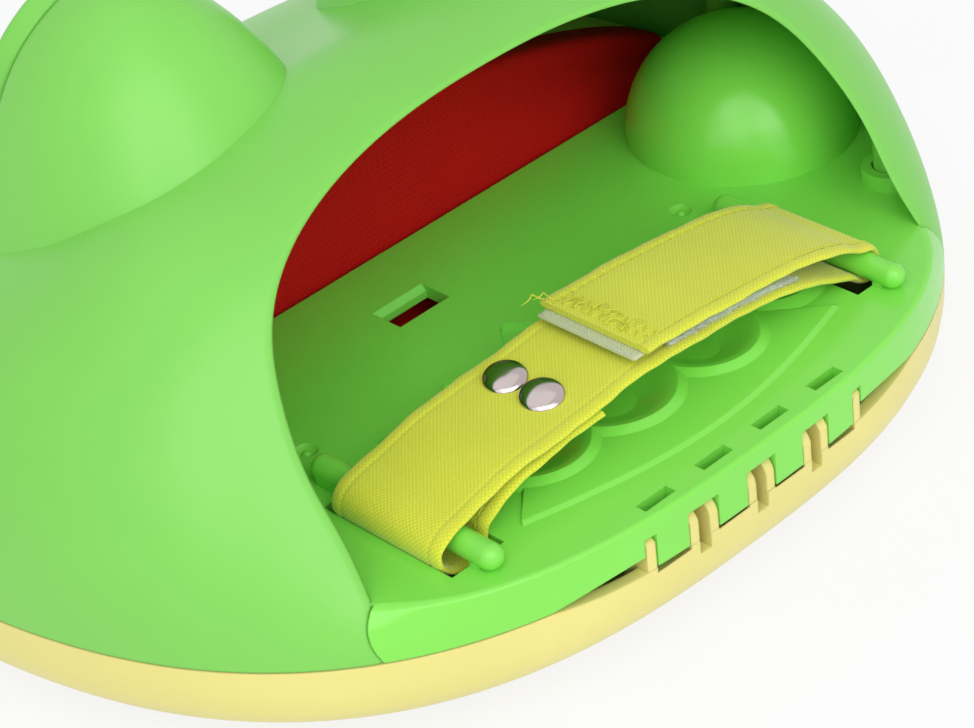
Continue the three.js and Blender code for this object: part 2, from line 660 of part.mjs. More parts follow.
function strapBar(side) {
  const radius = BAR_RADIUS;
  const length = BAR_REAR_Y - BAR_FRONT_Y - 2 * radius;
  const geometry = new THREE.CapsuleGeometry(radius, length, DOME_STEPS, ROUND_STEPS);
  return solid(geometry.translate(side * BAR_X, (BAR_FRONT_Y + BAR_REAR_Y) / 2, BAR_Z));
}

function barOpening(side) {
  const half = BAR_OPENING_WIDTH / 2;
  return block(side * BAR_X - half, side * BAR_X + half, BAR_OPENING_FRONT_Y, BAR_OPENING_REAR_Y,
    -OVERRUN, GAP);
}

function barFeet(side) {
  const half = BAR_RADIUS;
  const front = block(side * BAR_X - half, side * BAR_X + half, BAR_FRONT_Y + half,
    BAR_OPENING_FRONT_Y, -DECK_THICKNESS, BAR_Z);
  const rear = block(side * BAR_X - half, side * BAR_X + half, BAR_OPENING_REAR_Y,
    BAR_REAR_Y - half, -DECK_THICKNESS, BAR_Z);
  return front.add(rear);
}

function tabCentres() {
  const out = [];
  for (let i = 0; i < TAB_COUNT; i++) out.push((i - (TAB_COUNT - 1) / 2) * TAB_PITCH);
  return out;
}

function hingeHalfWidth() {
  return ((TAB_COUNT - 1) * TAB_PITCH + TAB_WIDTH) / 2 + FIN_SIDE_CLEARANCE + FIN_WIDTH;
}

function skirtCut() {
  const inner = hingeHalfWidth() + FIN_SIDE_CLEARANCE;
  const low = SEAM_Z - OVERRUN;
  return slabAlongY([
    point(-CRESCENT_HALF_WIDTH, low), point(CRESCENT_HALF_WIDTH, low),
    point(CRESCENT_HALF_WIDTH, SEAM_Z), point(inner, SEAM_Z + CRESCENT_SKIRT_RISE),
    point(inner, -SKIRT_LIP), point(-inner, -SKIRT_LIP), point(-inner, SEAM_Z + CRESCENT_SKIRT_RISE),
    point(-CRESCENT_HALF_WIDTH, SEAM_Z),
  ], AXIS_Y - 2 * RELIEF_RADIUS, HEAD_REAR_Y + OVERRUN);
}

function hingeTab(x) {
  const half = TAB_WIDTH / 2;
  const bottom = AXIS_Z - TAB_DROP;
  const body = block(x - half, x + half, AXIS_Y - HOOK_FRONT, HEAD_REAR_Y, bottom, -DECK_THICKNESS / 2)
    .intersect(loft([outlineRing(bottom - OVERRUN, 0), outlineRing(0, 0)]));
  const bore = ROD_RADIUS + ROD_CLEARANCE;
  const mouth = block(x - half - OVERRUN, x + half + OVERRUN, AXIS_Y - OVERRUN, AXIS_Y,
    bottom - OVERRUN, AXIS_Z - bore / 2);
  return body.subtract(barAlongX(x - half - OVERRUN, x + half + OVERRUN, AXIS_Y, AXIS_Z, bore))
    .subtract(mouth);
}

function palmDeck() {
  let deck = deckPlate();
  for (const side of [-1, 1]) {
    deck = deck.add(dome(side, 0)).subtract(dome(side, DOME_WALL));
    for (const [x, y] of [[POST_X, POST_Y], [FRONT_POST_X, FRONT_POST_Y]]) {
      deck = deck.add(collar(side * x, y));
    }
    deck = deck.subtract(barOpening(side)).add(strapBar(side)).add(barFeet(side));
    deck = deck.subtract(ball(side * DIMPLE_X, DIMPLE_Y, DIMPLE_RADIUS - DIMPLE_DEPTH,
      DIMPLE_RADIUS, DIMPLE_RADIUS, DIMPLE_RADIUS, ROUND_STEPS));
    deck = deck.add(upright(side * DIMPLE_X, DIMPLE_Y, -DECK_THICKNESS, -DIMPLE_DEPTH / 2, NUB_RADIUS));
  }
  deck = deck.subtract(recess()).subtract(block(SLOT_X - SLOT_LENGTH / 2, SLOT_X + SLOT_LENGTH / 2,
    SLOT_Y - SLOT_WIDTH / 2, SLOT_Y + SLOT_WIDTH / 2, -OVERRUN, OVERRUN));
  deck = deck.subtract(slotBevel()).subtract(skirtCut());
  for (const x of tabCentres()) {
    deck = deck.add(hingeTab(x));
    deck = deck.subtract(block(x - REAR_SLOT_LENGTH / 2, x + REAR_SLOT_LENGTH / 2,
      REAR_SLOT_Y - REAR_SLOT_WIDTH / 2, REAR_SLOT_Y + REAR_SLOT_WIDTH / 2, AXIS_Z, OVERRUN));
  }
  for (const side of [-1, 1]) {
    for (const [x, y] of [[POST_X, POST_Y], [FRONT_POST_X, FRONT_POST_Y]]) {
      deck = deck.subtract(upright(side * x, y, -OVERRUN, OVERRUN, DECK_SCREW_RADIUS + GAP));
      deck = deck.subtract(upright(side * x, y, 0, COLLAR_HEIGHT + OVERRUN, POST_RADIUS + GAP));
    }
  }
  return deck;
}

function collar(x, y) {
  return upright(x, y, -DECK_THICKNESS, COLLAR_HEIGHT, COLLAR_RADIUS)
    .intersect(headBody(WALL + GAP, SEAM_Z));
}

function slotBevel() {
  const front = SLOT_Y - SLOT_WIDTH / 2;
  return slabAlongX([
    point(front - SLOT_BEVEL, GAP), point(front - SLOT_BEVEL, 0), point(front, -SLOT_BEVEL),
    point(front + GAP, -SLOT_BEVEL), point(front + GAP, GAP),
  ], SLOT_X - SLOT_LENGTH / 2, SLOT_X + SLOT_LENGTH / 2);
}

// Lower jaw

function jawScale(down) {
  return (1 - down ** JAW_POWER) ** (1 / JAW_POWER);
}

function jawBowl(inset, rimZ) {
  const rings = [];
  const depth = JAW_DEPTH - inset;
  for (const down of [JAW_FOOT_SHARE, ...JAW_RING_SHARES]) {
    rings.push(outlineRing(SEAM_Z - GAP - depth * down, inset, jawScale(down)));
  }
  if (rimZ > SEAM_Z - GAP) rings.push(outlineRing(rimZ, inset, 1));
  return loft(rings);
}

function rimCut() {
  const inner = hingeHalfWidth();
  const high = SEAM_Z + OVERRUN;
  const rim = SEAM_Z - GAP;
  return slabAlongY([
    point(-CRESCENT_HALF_WIDTH, high), point(-CRESCENT_HALF_WIDTH, rim),
    point(-inner, rim - CRESCENT_RIM_DROP), point(inner, rim - CRESCENT_RIM_DROP),
    point(CRESCENT_HALF_WIDTH, rim), point(CRESCENT_HALF_WIDTH, high),
  ], AXIS_Y - 2 * RELIEF_RADIUS, HEAD_REAR_Y + OVERRUN);
}

function fin(x) {
  const half = FIN_WIDTH / 2;
  const foot = AXIS_Z - RELIEF_RADIUS - OVERRUN;
  const barrel = barAlongX(x - half, x + half, AXIS_Y, AXIS_Z, FIN_RADIUS);
  const web = block(x - half, x + half, AXIS_Y - FIN_RADIUS, AXIS_Y + FIN_RADIUS, foot, AXIS_Z);
  return barrel.add(web).intersect(loft([
    outlineRing(foot - OVERRUN, FIN_SETBACK), outlineRing(0, FIN_SETBACK),
  ]));
}

function lowerJaw() {
  let jaw = jawBowl(0, SEAM_Z - GAP).subtract(jawBowl(JAW_WALL, SEAM_Z + OVERRUN));
  jaw = jaw.subtract(rimCut());
  const half = TAB_WIDTH / 2 + FIN_SIDE_CLEARANCE;
  const centres = tabCentres();
  const notchZ = AXIS_Z - FIN_NOTCH_DROP;
  for (let i = 0; i + 1 < centres.length; i++) {
    const x0 = centres[i] + half + FIN_WIDTH;
    const x1 = centres[i + 1] - half - FIN_WIDTH;
    jaw = jaw.subtract(block(x0, x1, AXIS_Y - 2 * RELIEF_RADIUS, HEAD_REAR_Y + OVERRUN, notchZ, 0));
  }
  for (const x of centres) {
    for (const side of [-1, 1]) jaw = jaw.add(fin(x + side * (half + FIN_WIDTH / 2)));
    jaw = jaw.subtract(barAlongX(x - half, x + half, AXIS_Y, AXIS_Z, RELIEF_RADIUS));
    jaw = jaw.add(barAlongX(x - half - GAP, x + half + GAP, AXIS_Y, AXIS_Z, ROD_RADIUS));
  }
  return jaw.add(clampRidge());
}

function clampRidge() {
  const floor = SEAM_Z - GAP - JAW_DEPTH * JAW_FOOT_SHARE + JAW_WALL / 2;
  let ridge = block(-RIDGE_HALF_LENGTH, RIDGE_HALF_LENGTH, RIDGE_Y - RIDGE_WIDTH / 2,
    RIDGE_Y + RIDGE_WIDTH / 2, floor, RIDGE_TOP_Z);
  for (const x of lowerScrewXs()) {
    ridge = ridge.add(upright(x, lowerScrewY(), floor, clampBottomZ() - GAP, CLAMP_SCREW_HEAD_RADIUS));
    ridge = ridge.subtract(upright(x, lowerScrewY(), floor + GAP, 0, CLAMP_SCREW_RADIUS + GAP));
  }
  return ridge;
}

const lowerScrewY = () => RIDGE_Y - RIDGE_WIDTH / 2 + CLAMP_SCREW_INSET;
const clampBottomZ = () => RIDGE_TOP_Z + FABRIC_THICKNESS + 2 * GAP;

function lowerClamp() {
  const z0 = clampBottomZ();
  let bar = block(-RIDGE_HALF_LENGTH, RIDGE_HALF_LENGTH, RIDGE_Y - RIDGE_WIDTH / 2,
    RIDGE_Y + RIDGE_WIDTH / 2, z0, z0 + LOWER_CLAMP_THICKNESS);
  for (const x of lowerScrewXs()) {
    bar = bar.subtract(upright(x, lowerScrewY(), z0 - GAP, z0 + OVERRUN, CLAMP_SCREW_RADIUS + GAP));
  }
  return bar;
}

const lowerScrewXs = () => LOWER_SCREW_SHARES.map((share) => share * LOWER_SCREW_X);

function screwDown(x, y, seatZ, shankLength, radius, headRadius, headHeight) {
  return upright(x, y, seatZ - shankLength, seatZ + GAP / 2, radius)
    .add(upright(x, y, seatZ, seatZ + headHeight, headRadius, headRadius * SCREW_TAPER_SHARE));
}

function screwUp(x, y, seatZ, shankLength, radius, headRadius, headHeight) {
  return upright(x, y, seatZ - GAP / 2, seatZ + shankLength, radius)
    .add(upright(x, y, seatZ - headHeight, seatZ, headRadius * SCREW_TAPER_SHARE, headRadius));
}

// Palate and upper clamp

function palateRise(y) {
  const along = (y - HEAD_FRONT_Y) / (PALATE_REAR_Y - HEAD_FRONT_Y);
  return PALATE_HEIGHT * Math.min(along, 1) ** PALATE_RISE_POWER;
}

function vault(inset, y0, y1) {
  const rings = [];
  const clearance = WALL + GAP;
  const front = HEAD_FRONT_Y + clearance + inset;
  for (let i = 1; i <= PALATE_RINGS; i++) {
    const y = front + (PALATE_REAR_Y + OVERRUN - front) * (1 - Math.cos((Math.PI * i) / (2 * PALATE_RINGS)));
    rings.push(archRing(y, outlineHalfWidth(y, clearance + inset),
      SEAM_Z + Math.max(palateRise(y) - inset, GAP), PALATE_POWER,
      inset > 0 ? SEAM_Z - OVERRUN : SEAM_Z));
  }
  return loft(rings, new THREE.Vector3(0, front, SEAM_Z))
    .intersect(block(-HEAD_HALF_WIDTH, HEAD_HALF_WIDTH, y0, y1, SEAM_Z - 2 * OVERRUN, CROWN_HEIGHT));
}

function palate() {
  return vault(0, HEAD_FRONT_Y, PALATE_REAR_Y)
    .intersect(headBody(WALL + PALATE_CLEARANCE, SEAM_Z))
    .subtract(vault(PALATE_WALL, HEAD_FRONT_Y - OVERRUN, PALATE_REAR_Y + OVERRUN));
}

function upperClamp() {
  const under = PALATE_WALL + FABRIC_THICKNESS + 2 * FABRIC_CLEARANCE;
  const y0 = PALATE_REAR_Y - CLAMP_WIDTH;
  return vault(under, y0, PALATE_REAR_Y)
    .subtract(vault(under + CLAMP_THICKNESS, y0 - OVERRUN, PALATE_REAR_Y + OVERRUN))
    .intersect(block(-HEAD_HALF_WIDTH, HEAD_HALF_WIDTH, y0, PALATE_REAR_Y, 0, CROWN_HEIGHT));
}

// Mouth fabric: a sheet from under the palate, round the deck's front edge, to the jaw floor

function palateUnderside(x, y) {
  const inset = PALATE_WALL + FABRIC_CLEARANCE + FABRIC_THICKNESS / 2;
  const top = palateRise(y) - inset;
  const half = outlineHalfWidth(y, WALL + GAP + inset);
  const share = Math.min(Math.abs(x) / half, 1);
  return SEAM_Z + top * (1 - share ** PALATE_POWER) ** (1 / PALATE_POWER);
}

function fabricPath(x) {
  const heldY = PALATE_REAR_Y - FABRIC_HELD;
  const edgeY = DECK_FRONT_Y - FABRIC_FRONT_GAP;
  const rimZ = palateUnderside(x, PALATE_REAR_Y);
  const floorZ = RIDGE_TOP_Z + GAP + FABRIC_THICKNESS / 2;
  return new THREE.CatmullRomCurve3([
    new THREE.Vector3(x, heldY, palateUnderside(x, heldY)),
    new THREE.Vector3(x, PALATE_REAR_Y + GAP, rimZ),
    new THREE.Vector3(x, (PALATE_REAR_Y + edgeY) / 2, rimZ * FABRIC_HANG_SHARE),
    new THREE.Vector3(x, edgeY, -DECK_THICKNESS),
    new THREE.Vector3(x, (edgeY + FABRIC_POCKET_Y) / 2, FABRIC_POCKET_Z * FABRIC_SAG_SHARE),
    new THREE.Vector3(x, FABRIC_POCKET_Y, FABRIC_POCKET_Z),
    new THREE.Vector3(x, (RIDGE_Y + FABRIC_POCKET_Y) / 2, (FABRIC_POCKET_Z + floorZ) / 2),
    new THREE.Vector3(x, RIDGE_Y + RIDGE_WIDTH / 2, floorZ),
    new THREE.Vector3(x, RIDGE_Y - GAP, floorZ),
  ], false, 'centripetal');
}

function mouthFabric() {
  const across = FABRIC_STEPS_ACROSS;
  const along = FABRIC_STEPS_ALONG;
  const rings = [];
  for (let i = 0; i <= across; i++) {
    const x = FABRIC_HALF_WIDTH * (1 - (2 * i) / across);
    const curve = fabricPath(x);
    const upper = [];
    const lower = [];
    for (let j = 0; j <= along; j++) {
      const at = curve.getPoint(j / along);
      const way = curve.getTangent(j / along);
      const normal = new THREE.Vector3(0, -way.z, way.y).multiplyScalar(FABRIC_THICKNESS / 2);
      upper.push(at.clone().add(normal));
      lower.push(at.clone().sub(normal));
    }
    rings.push([...upper, ...lower.reverse()]);
  }
  return loftStrip(rings);
}

// Closed solid through flat rings whose caps are strips between two matching sides
function loftStrip(rings) {
  const count = rings[0].length;
  const half = count / 2;
  const points = rings.flat();
  const index = [];
  for (let i = 0; i + 1 < rings.length; i++) {
    for (let j = 0; j < count; j++) {
      const k = (j + 1) % count;
      const [a, b, c, d] = [i * count + j, i * count + k, (i + 1) * count + k, (i + 1) * count + j];
      index.push(a, b, c, a, c, d);
    }
  }
  const top = (rings.length - 1) * count;
  for (let j = 0; j + 1 < half; j++) {
    const [a, b, c, d] = [j, j + 1, count - 2 - j, count - 1 - j];
    index.push(a, c, b, a, d, c);
    index.push(top + a, top + b, top + c, top + a, top + c, top + d);
  }
  const geometry = new THREE.BufferGeometry();
  geometry.setAttribute('position',
    new THREE.Float32BufferAttribute(points.flatMap((p) => [p.x, p.y, p.z]), 3));
  geometry.setIndex(index);
  return solid(geometry);
}

// Hand strap

const WRAP_RADIUS = BAR_RADIUS + GAP + STRAP_THICKNESS / 2;

function arcPoints(side, fromDegrees, toDegrees, steps) {
  const out = [];
  for (let i = 0; i <= steps; i++) {
    const angle = THREE.MathUtils.degToRad(fromDegrees + ((toDegrees - fromDegrees) * i) / steps);
    out.push(point(side * BAR_X + WRAP_RADIUS * Math.cos(angle), BAR_Z + WRAP_RADIUS * Math.sin(angle)));
  }
  return out;
}

// Ribbon outline of the given thickness round a line of points
function ribbon(line, thickness) {
  const left = [];
  const right = [];
  line.forEach((at, i) => {
    const before = line[Math.max(i - 1, 0)];
    const after = line[Math.min(i + 1, line.length - 1)];
    const way = after.clone().sub(before).normalize();
    const normal = point(-way.y, way.x).multiplyScalar(thickness / 2);
    left.push(at.clone().add(normal));
    right.push(at.clone().sub(normal));
  });
  return [...left, ...right.reverse()];
}

function sideCurve(shares, rise, steps) {
  return new THREE.SplineCurve(shares.map(([out, up]) => point(out * BAR_X, up * rise))).getPoints(steps);
}

const strapUnder = () => sideCurve(STRAP_UNDER_SHARES, BAR_Z + STRAP_RISE, WRAP_STEPS);
const strapOver = () => sideCurve(STRAP_OVER_SHARES, BAR_Z + STRAP_RISE, STRAP_STEPS);

function strapLine() {
  return [...strapUnder(), ...arcPoints(1, WRAP_START, WRAP_END, WRAP_STEPS), ...strapOver(),
    ...arcPoints(-1, HEM_START, HEM_END, WRAP_STEPS / 2)];
}

function flapLine() {
  const rise = BAR_Z + FLAP_RISE;
  const over = sideCurve([...FLAP_SHARES, [FLAP_END_X / BAR_X, 1]], rise, STRAP_STEPS);
  return [...arcPoints(-1, FLAP_WRAP_START, FLAP_WRAP_END, WRAP_STEPS / 2), ...over];
}

function strapBase() {
  const y0 = STRAP_Y - STRAP_WIDTH / 2;
  let strap = slabAlongY(ribbon(strapLine(), STRAP_THICKNESS), y0, y0 + STRAP_WIDTH);
  for (const y of rivetYs()) {
    strap = strap.subtract(upright(RIVET_X, y, 0, CROWN_HEIGHT, RIVET_SHANK_RADIUS + GAP));
  }
  return strap;
}

const rivetYs = () => [RIVET_FRONT_Y, RIVET_FRONT_Y + RIVET_PITCH];

function strapFlap() {
  const y0 = STRAP_Y - STRAP_WIDTH / 2;
  return slabAlongY(ribbon(flapLine(), STRAP_THICKNESS), y0, y0 + STRAP_WIDTH);
}

// Part of a line between two X values, shifted up
function lineBetween(line, x0, x1, up) {
  return line.filter((at) => at.x >= x0 && at.x <= x1 && at.y > BAR_Z)
    .map((at) => point(at.x, at.y + up));
}

function loopPile() {
  const up = (STRAP_THICKNESS + LOOP_THICKNESS) / 2 + GAP;
  const line = lineBetween(strapOver(), LOOP_REAR_SHARE * BAR_X, 0, up);
  return slabAlongY(ribbon(line, LOOP_THICKNESS), STRAP_Y - HOOK_WIDTH / 2, STRAP_Y + HOOK_WIDTH / 2);
}

function hookTape() {
  const flap = flapLine();
  const end = flap.at(-1).clone().add(point(FLAP_END_X / 2, 0));
  const down = (STRAP_THICKNESS + HOOK_THICKNESS) / 2 + GAP;
  const line = lineBetween([...flap, end], HOOK_REAR_SHARE * BAR_X, BAR_X, -down);
  return slabAlongY(ribbon(line, HOOK_THICKNESS), STRAP_Y - HOOK_WIDTH / 2, STRAP_Y + HOOK_WIDTH / 2);
}

const rivetTailZ = () => heightAt(strapUnder(), RIVET_X) - STRAP_THICKNESS / 2 - GAP;

function rivetCap(y) {
  const seat = heightAt(strapOver(), RIVET_X) + STRAP_THICKNESS / 2 + GAP;
  const profile = [point(0, 0), point(RIVET_RADIUS * RIVET_SEAT_SHARE, 0)];
  for (let i = 0; i <= DOME_STEPS; i++) {
    const angle = (Math.PI * i) / (2 * DOME_STEPS);
    const up = RIVET_EDGE_SHARE + (1 - RIVET_EDGE_SHARE) * Math.sin(angle);
    profile.push(point(i === DOME_STEPS ? 0 : RIVET_RADIUS * Math.cos(angle), RIVET_DOME * up));
  }
  const cap = solid(new THREE.LatheGeometry(profile, ROUND_STEPS).rotateX(Math.PI / 2)
    .translate(RIVET_X, y, seat));
  return cap.add(upright(RIVET_X, y, rivetTailZ(), seat + GAP, RIVET_SHANK_RADIUS));
}

function rivetBack(y) {
  const top = rivetTailZ() - GAP;
  return upright(RIVET_X, y, top - RIVET_BACK_THICKNESS, top, RIVET_BACK_RADIUS);
}

// Assembly

const launcher = new THREE.Group();
launcher.position.set(0, -MID_Y, FOOT_DEPTH);

function put(name, manifold, look) {
  launcher.add(toMesh(name, manifold, look));
}

put('upper_shell', upperShell(), 'shell');
put('palm_deck', palmDeck(), 'deck');
put('lower_jaw', lowerJaw(), 'jaw');
put('palate', palate(), 'jaw');
put('upper_clamp', upperClamp(), 'jaw');
put('lower_clamp', lowerClamp(), 'jaw');
put('mouth_fabric', mouthFabric(), 'fabric');
for (const [label, side] of [['left', 1], ['right', -1]]) {
  put(`eye_bezel_${label}`, eyeBezel(side), 'shell');
  put(`eyeball_${label}`, eyeball(side), 'eye');
  put(`pupil_${label}`, pupil(side), 'pupil');
}
put('strap_base', strapBase(), 'strap');
put('strap_flap', strapFlap(), 'strap');
put('loop_pile', loopPile(), 'pile');
put('hook_tape', hookTape(), 'hook');
rivetYs().forEach((y, i) => {
  put(`strap_rivet_${i + 1}`, rivetCap(y), 'chrome');
  put(`rivet_back_${i + 1}`, rivetBack(y), 'chrome');
});
[[POST_X, POST_Y], [-POST_X, POST_Y], [FRONT_POST_X, FRONT_POST_Y], [-FRONT_POST_X, FRONT_POST_Y]]
  .forEach(([x, y], i) => {
    put(`deck_screw_${i + 1}`, screwUp(x, y, -DECK_THICKNESS - GAP, DECK_SCREW_LENGTH,
      DECK_SCREW_RADIUS, DECK_SCREW_HEAD_RADIUS, DECK_SCREW_HEAD_HEIGHT), 'steel');
  });
lowerScrewXs().forEach((x, i) => {
  put(`clamp_screw_${i + 1}`, screwDown(x, lowerScrewY(), clampBottomZ() + LOWER_CLAMP_THICKNESS + GAP,
    LOWER_CLAMP_THICKNESS + CLAMP_SCREW_HEAD_HEIGHT, CLAMP_SCREW_RADIUS, CLAMP_SCREW_HEAD_RADIUS,
    CLAMP_SCREW_HEAD_HEIGHT), 'steel');
});

export default launcher;
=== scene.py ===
from math import cos, pi, radians, sin, tan

import bmesh
import bpy
import numpy as np
from mathutils import Matrix, Vector


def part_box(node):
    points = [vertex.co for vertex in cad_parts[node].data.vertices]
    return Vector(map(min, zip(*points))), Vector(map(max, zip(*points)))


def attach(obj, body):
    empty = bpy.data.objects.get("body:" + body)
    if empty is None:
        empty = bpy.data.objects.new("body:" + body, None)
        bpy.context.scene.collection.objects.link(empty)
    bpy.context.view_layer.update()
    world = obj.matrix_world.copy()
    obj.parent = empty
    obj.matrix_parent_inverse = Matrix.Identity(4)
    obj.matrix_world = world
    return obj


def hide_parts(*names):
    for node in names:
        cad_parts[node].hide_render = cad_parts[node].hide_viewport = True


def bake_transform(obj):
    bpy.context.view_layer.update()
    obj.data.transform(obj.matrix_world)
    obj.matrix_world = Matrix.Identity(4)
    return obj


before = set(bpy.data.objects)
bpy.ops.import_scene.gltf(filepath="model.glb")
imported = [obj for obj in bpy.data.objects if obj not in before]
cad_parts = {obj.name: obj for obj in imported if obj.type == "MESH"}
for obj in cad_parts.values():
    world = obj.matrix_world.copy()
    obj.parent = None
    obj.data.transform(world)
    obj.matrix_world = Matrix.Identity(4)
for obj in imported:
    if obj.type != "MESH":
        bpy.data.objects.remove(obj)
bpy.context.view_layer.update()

# The frog head launcher. Shapes are in millimetres in deck coordinates: X across, -Y to the mouth,
# Z = 0 on the deck top. SHIFT and MM bring them into the frame of the CAD model.
SHIFT = np.array((0.0, 27.5, 33.0))
MM = 0.001

# Head form
HALF_WIDTH, REAR_LENGTH, FRONT_LENGTH = 111.5, 127.0, 54.0
WIDEST_Y, OUTLINE_POWER = -64.0, 2.68
FRONT_Y, REAR_Y = WIDEST_Y - FRONT_LENGTH, WIDEST_Y + REAR_LENGTH
SEAM_Z, CROWN, SECTION_POWER = -9.3, 70.1, 2.35
REAR_DROP, REAR_DROP_LENGTH = 1.5, 25.0
BLUR_REACH, BLUR_WIDTH, NOSE_KEPT, NOSE_FADE = 16, 6.0, 10.0, 14.0
RING_STEPS, HEAD_COLS = 288, 180
WALL, RIM, RIM_TAPER, GAP, OVER = 2.6, 0.8, 16.0, 0.3, 6.0
PROFILE = [
    (0, 0), (.008, .13), (.044, .3), (.11, .46), (.193, .6), (.287, .71), (.376, .796),
    (.459, .889), (.541, .974), (.624, 1), (.685, .974), (.724, .917), (.762, .803),
    (.807, .632), (.845, .447), (.878, .304), (.912, .175)]
ARCH_FOOT_Y, ARCH_LEAN, FOOT_SPLAY = 40.9, 32.7, 3.4
POSTS = [(83.0, 25.0), (100.5, -33.5)]
POST_RADIUS, POST_BORE, DECK_BORE, COLLAR_RADIUS, COLLAR_HEIGHT = 3.3, 1.55, 1.7, 6.0, 3.2

# Brow bulges and eyes
BULGE, BULGE_RADII = (42.2, -44.0, 0.0), (37.6, 44.0, 78.0)
BULGE_PLAN_POWER, BULGE_RISE_POWER = 2.25, 1.9
EYE, EYE_YAW, EYE_PITCH, EYE_CUT = (39.1, -38.8, 49.3), 4.0, 20.0, 21.0
BEZEL_RADIUS, BEZEL_WALL, BEZEL_LENGTH = 21.5, 2.4, 5.0
FACE_FLARE = 1.3
NOSTRIL, NOSTRIL_RADIUS = (13.0, 8.0, 25.2), 3.4
EYEBALL_PROUD, PUPIL_RADIUS, PUPIL_THICKNESS = 6.0, 8.0, 0.9

# Deck
DECK, DECK_FRONT_Y, EDGE_ROUND, SKIRT = 2.8, -37.6, 0.8, 2.2
FOOT_RISE, FOOT_FADE_Y, FOOT_FADE = 19.6, 57.0, 15.0
DOME_X, DOME_Y, DOME_RADIUS, DOME_WALL = 81.7, -12.4, 23.9, 2.2
BAR_X, BAR_Z, BAR_RADIUS, BAR_FRONT_Y, BAR_REAR_Y = 53.1, 2.3, 2.5, 6.1, 52.1
OPEN_WIDTH, OPEN_FRONT_Y, OPEN_REAR_Y = 12.4, 14.5, 46.5
AXIS_Y, AXIS_Z = 59.2, -7.9
TAB_PITCH = 14.9
TAB_XS = [(i - 1.5) * TAB_PITCH for i in range(4)]
TAB_SLOT, TAB_SLOT_Y = 3.75, (57.6, 60.0)
TAB_WIDTH, TAB_DROP, FIN_WIDTH, FIN_RADIUS, ROD_RADIUS, ROD_ROOM = 7.4, 2.8, 2.1, 3.6, 1.6, 5.0
CRESCENT, SKIRT_CRESCENT, JAW_CRESCENT, SKIRT_CUT_Z = 48.0, 1.8, -1.4, -3.9
PIP_X, PIP_Y, PIP_RADIUS = 49.8, -0.5, 3.4
SLOT_X, SLOT_Y = (-0.9, 12.1), (-22.05, -15.55)
SLOT_BEVEL = [(-21.75, 0.3), (-21.75, -1.2), (-22.05, -1.2), (-23.25, 0), (-23.25, 0.3)]

# Jaw and palate
JAW_DEPTH, JAW_POWER, JAW_FOOT_SHARE, JAW_WALL = 24.0, 4.0, 0.975, 2.5
PALATE_REAR_Y, PALATE_HEIGHT, PALATE_POWER, PALATE_RISE_POWER = -47.0, 33.5, 1.65, 0.45
PALATE_WALL, CLAMP_WIDTH = 2.2, 12.0
FABRIC_HALF_WIDTH, FABRIC_CLEARANCE, FABRIC_HELD, HEM_REACH = 86.0, 1.3, 6.0, 9.0
HEM_HALF_WIDTH = 95.0
RIDGE_Y, RIDGE_WIDTH, RIDGE_TOP_Z, RIDGE_HALF = -62.0, 12.0, -27.6, 66.0
CLAMP_SCREW_XS, BOSS_RADIUS, BOSS_BORE = (-50, -17.5, 17.5, 50), 2.3, 1.5

# Strap
STRAP_WIDTH, STRAP_Y, STRAP_THICKNESS, TAPE_WIDTH = 27.0, 30.5, 1.2, 24.0
STRAP_RISE, FLAP_RISE, FLAP_END_X = 9.4, 12.8, 6.0
STITCH_AT, STITCH_PITCH, THREAD_RADIUS = 0.8, 2.6, 0.17
RIVET_X, RIVET_YS, RIVET_RADIUS = 23.0, (24.7, 33.7), 4.15
CAP_RISE, CAP_TILT = 1.3, 12.0
PILE_THICKNESS, PILE_FIBRES, HOOK_THICKNESS, HOOK_PITCH = 0.8, 1500, 0.45, 0.8

rng = np.random.default_rng(7)


# Mesh helpers

def place(points):
    return (np.asarray(points, float) + SHIFT) * MM


def signed_power(value, power):
    return np.sign(value) * np.abs(value) ** power


def grid_faces(rows, cols, wrap=False, start=0, flip=False):
    i, j = np.meshgrid(np.arange(rows - 1), np.arange(cols if wrap else cols - 1), indexing="ij")
    k = (j + 1) % cols
    quads = np.stack([i * cols + j, (i + 1) * cols + j, (i + 1) * cols + k, i * cols + k], -1)
    quads = quads.reshape(-1, 4) + start
    return (quads[:, ::-1] if flip else quads).tolist()


def loft(rings, first=None, last=None, flip=False):
    """Closed solid through rings of equal count; the ends close in a point or a flat face."""
    rings = np.asarray(rings, float)
    rows, cols = rings.shape[:2]
    points = rings.reshape(-1, 3).tolist()
    faces = grid_faces(rows, cols, wrap=True)
    top = (rows - 1) * cols
    if first is None:
        faces.append(list(range(cols)))
    else:
        points.append(list(first))
        tip = len(points) - 1
        faces += [[tip, j, (j + 1) % cols] for j in range(cols)]
    if last is None:
        faces.append([top + j for j in reversed(range(cols))])
    else:
        points.append(list(last))
        tip = len(points) - 1
        faces += [[tip, top + (j + 1) % cols, top + j] for j in range(cols)]
    if flip:
        faces = [f[::-1] for f in faces]
    return np.array(points), faces


def box(x0, x1, y0, y1, z0, z1):
    return prism([(x0, y0), (x1, y0), (x1, y1), (x0, y1)], z0, z1)


def prism(outline, low, high, axis=2):
    """Solid of an outline in the two other axes, pushed along an axis."""
    outline = np.asarray(outline, float)
    ends = (low, high) if axis == 1 else (high, low)
    return loft([np.insert(outline, axis, level, axis=1) for level in ends])


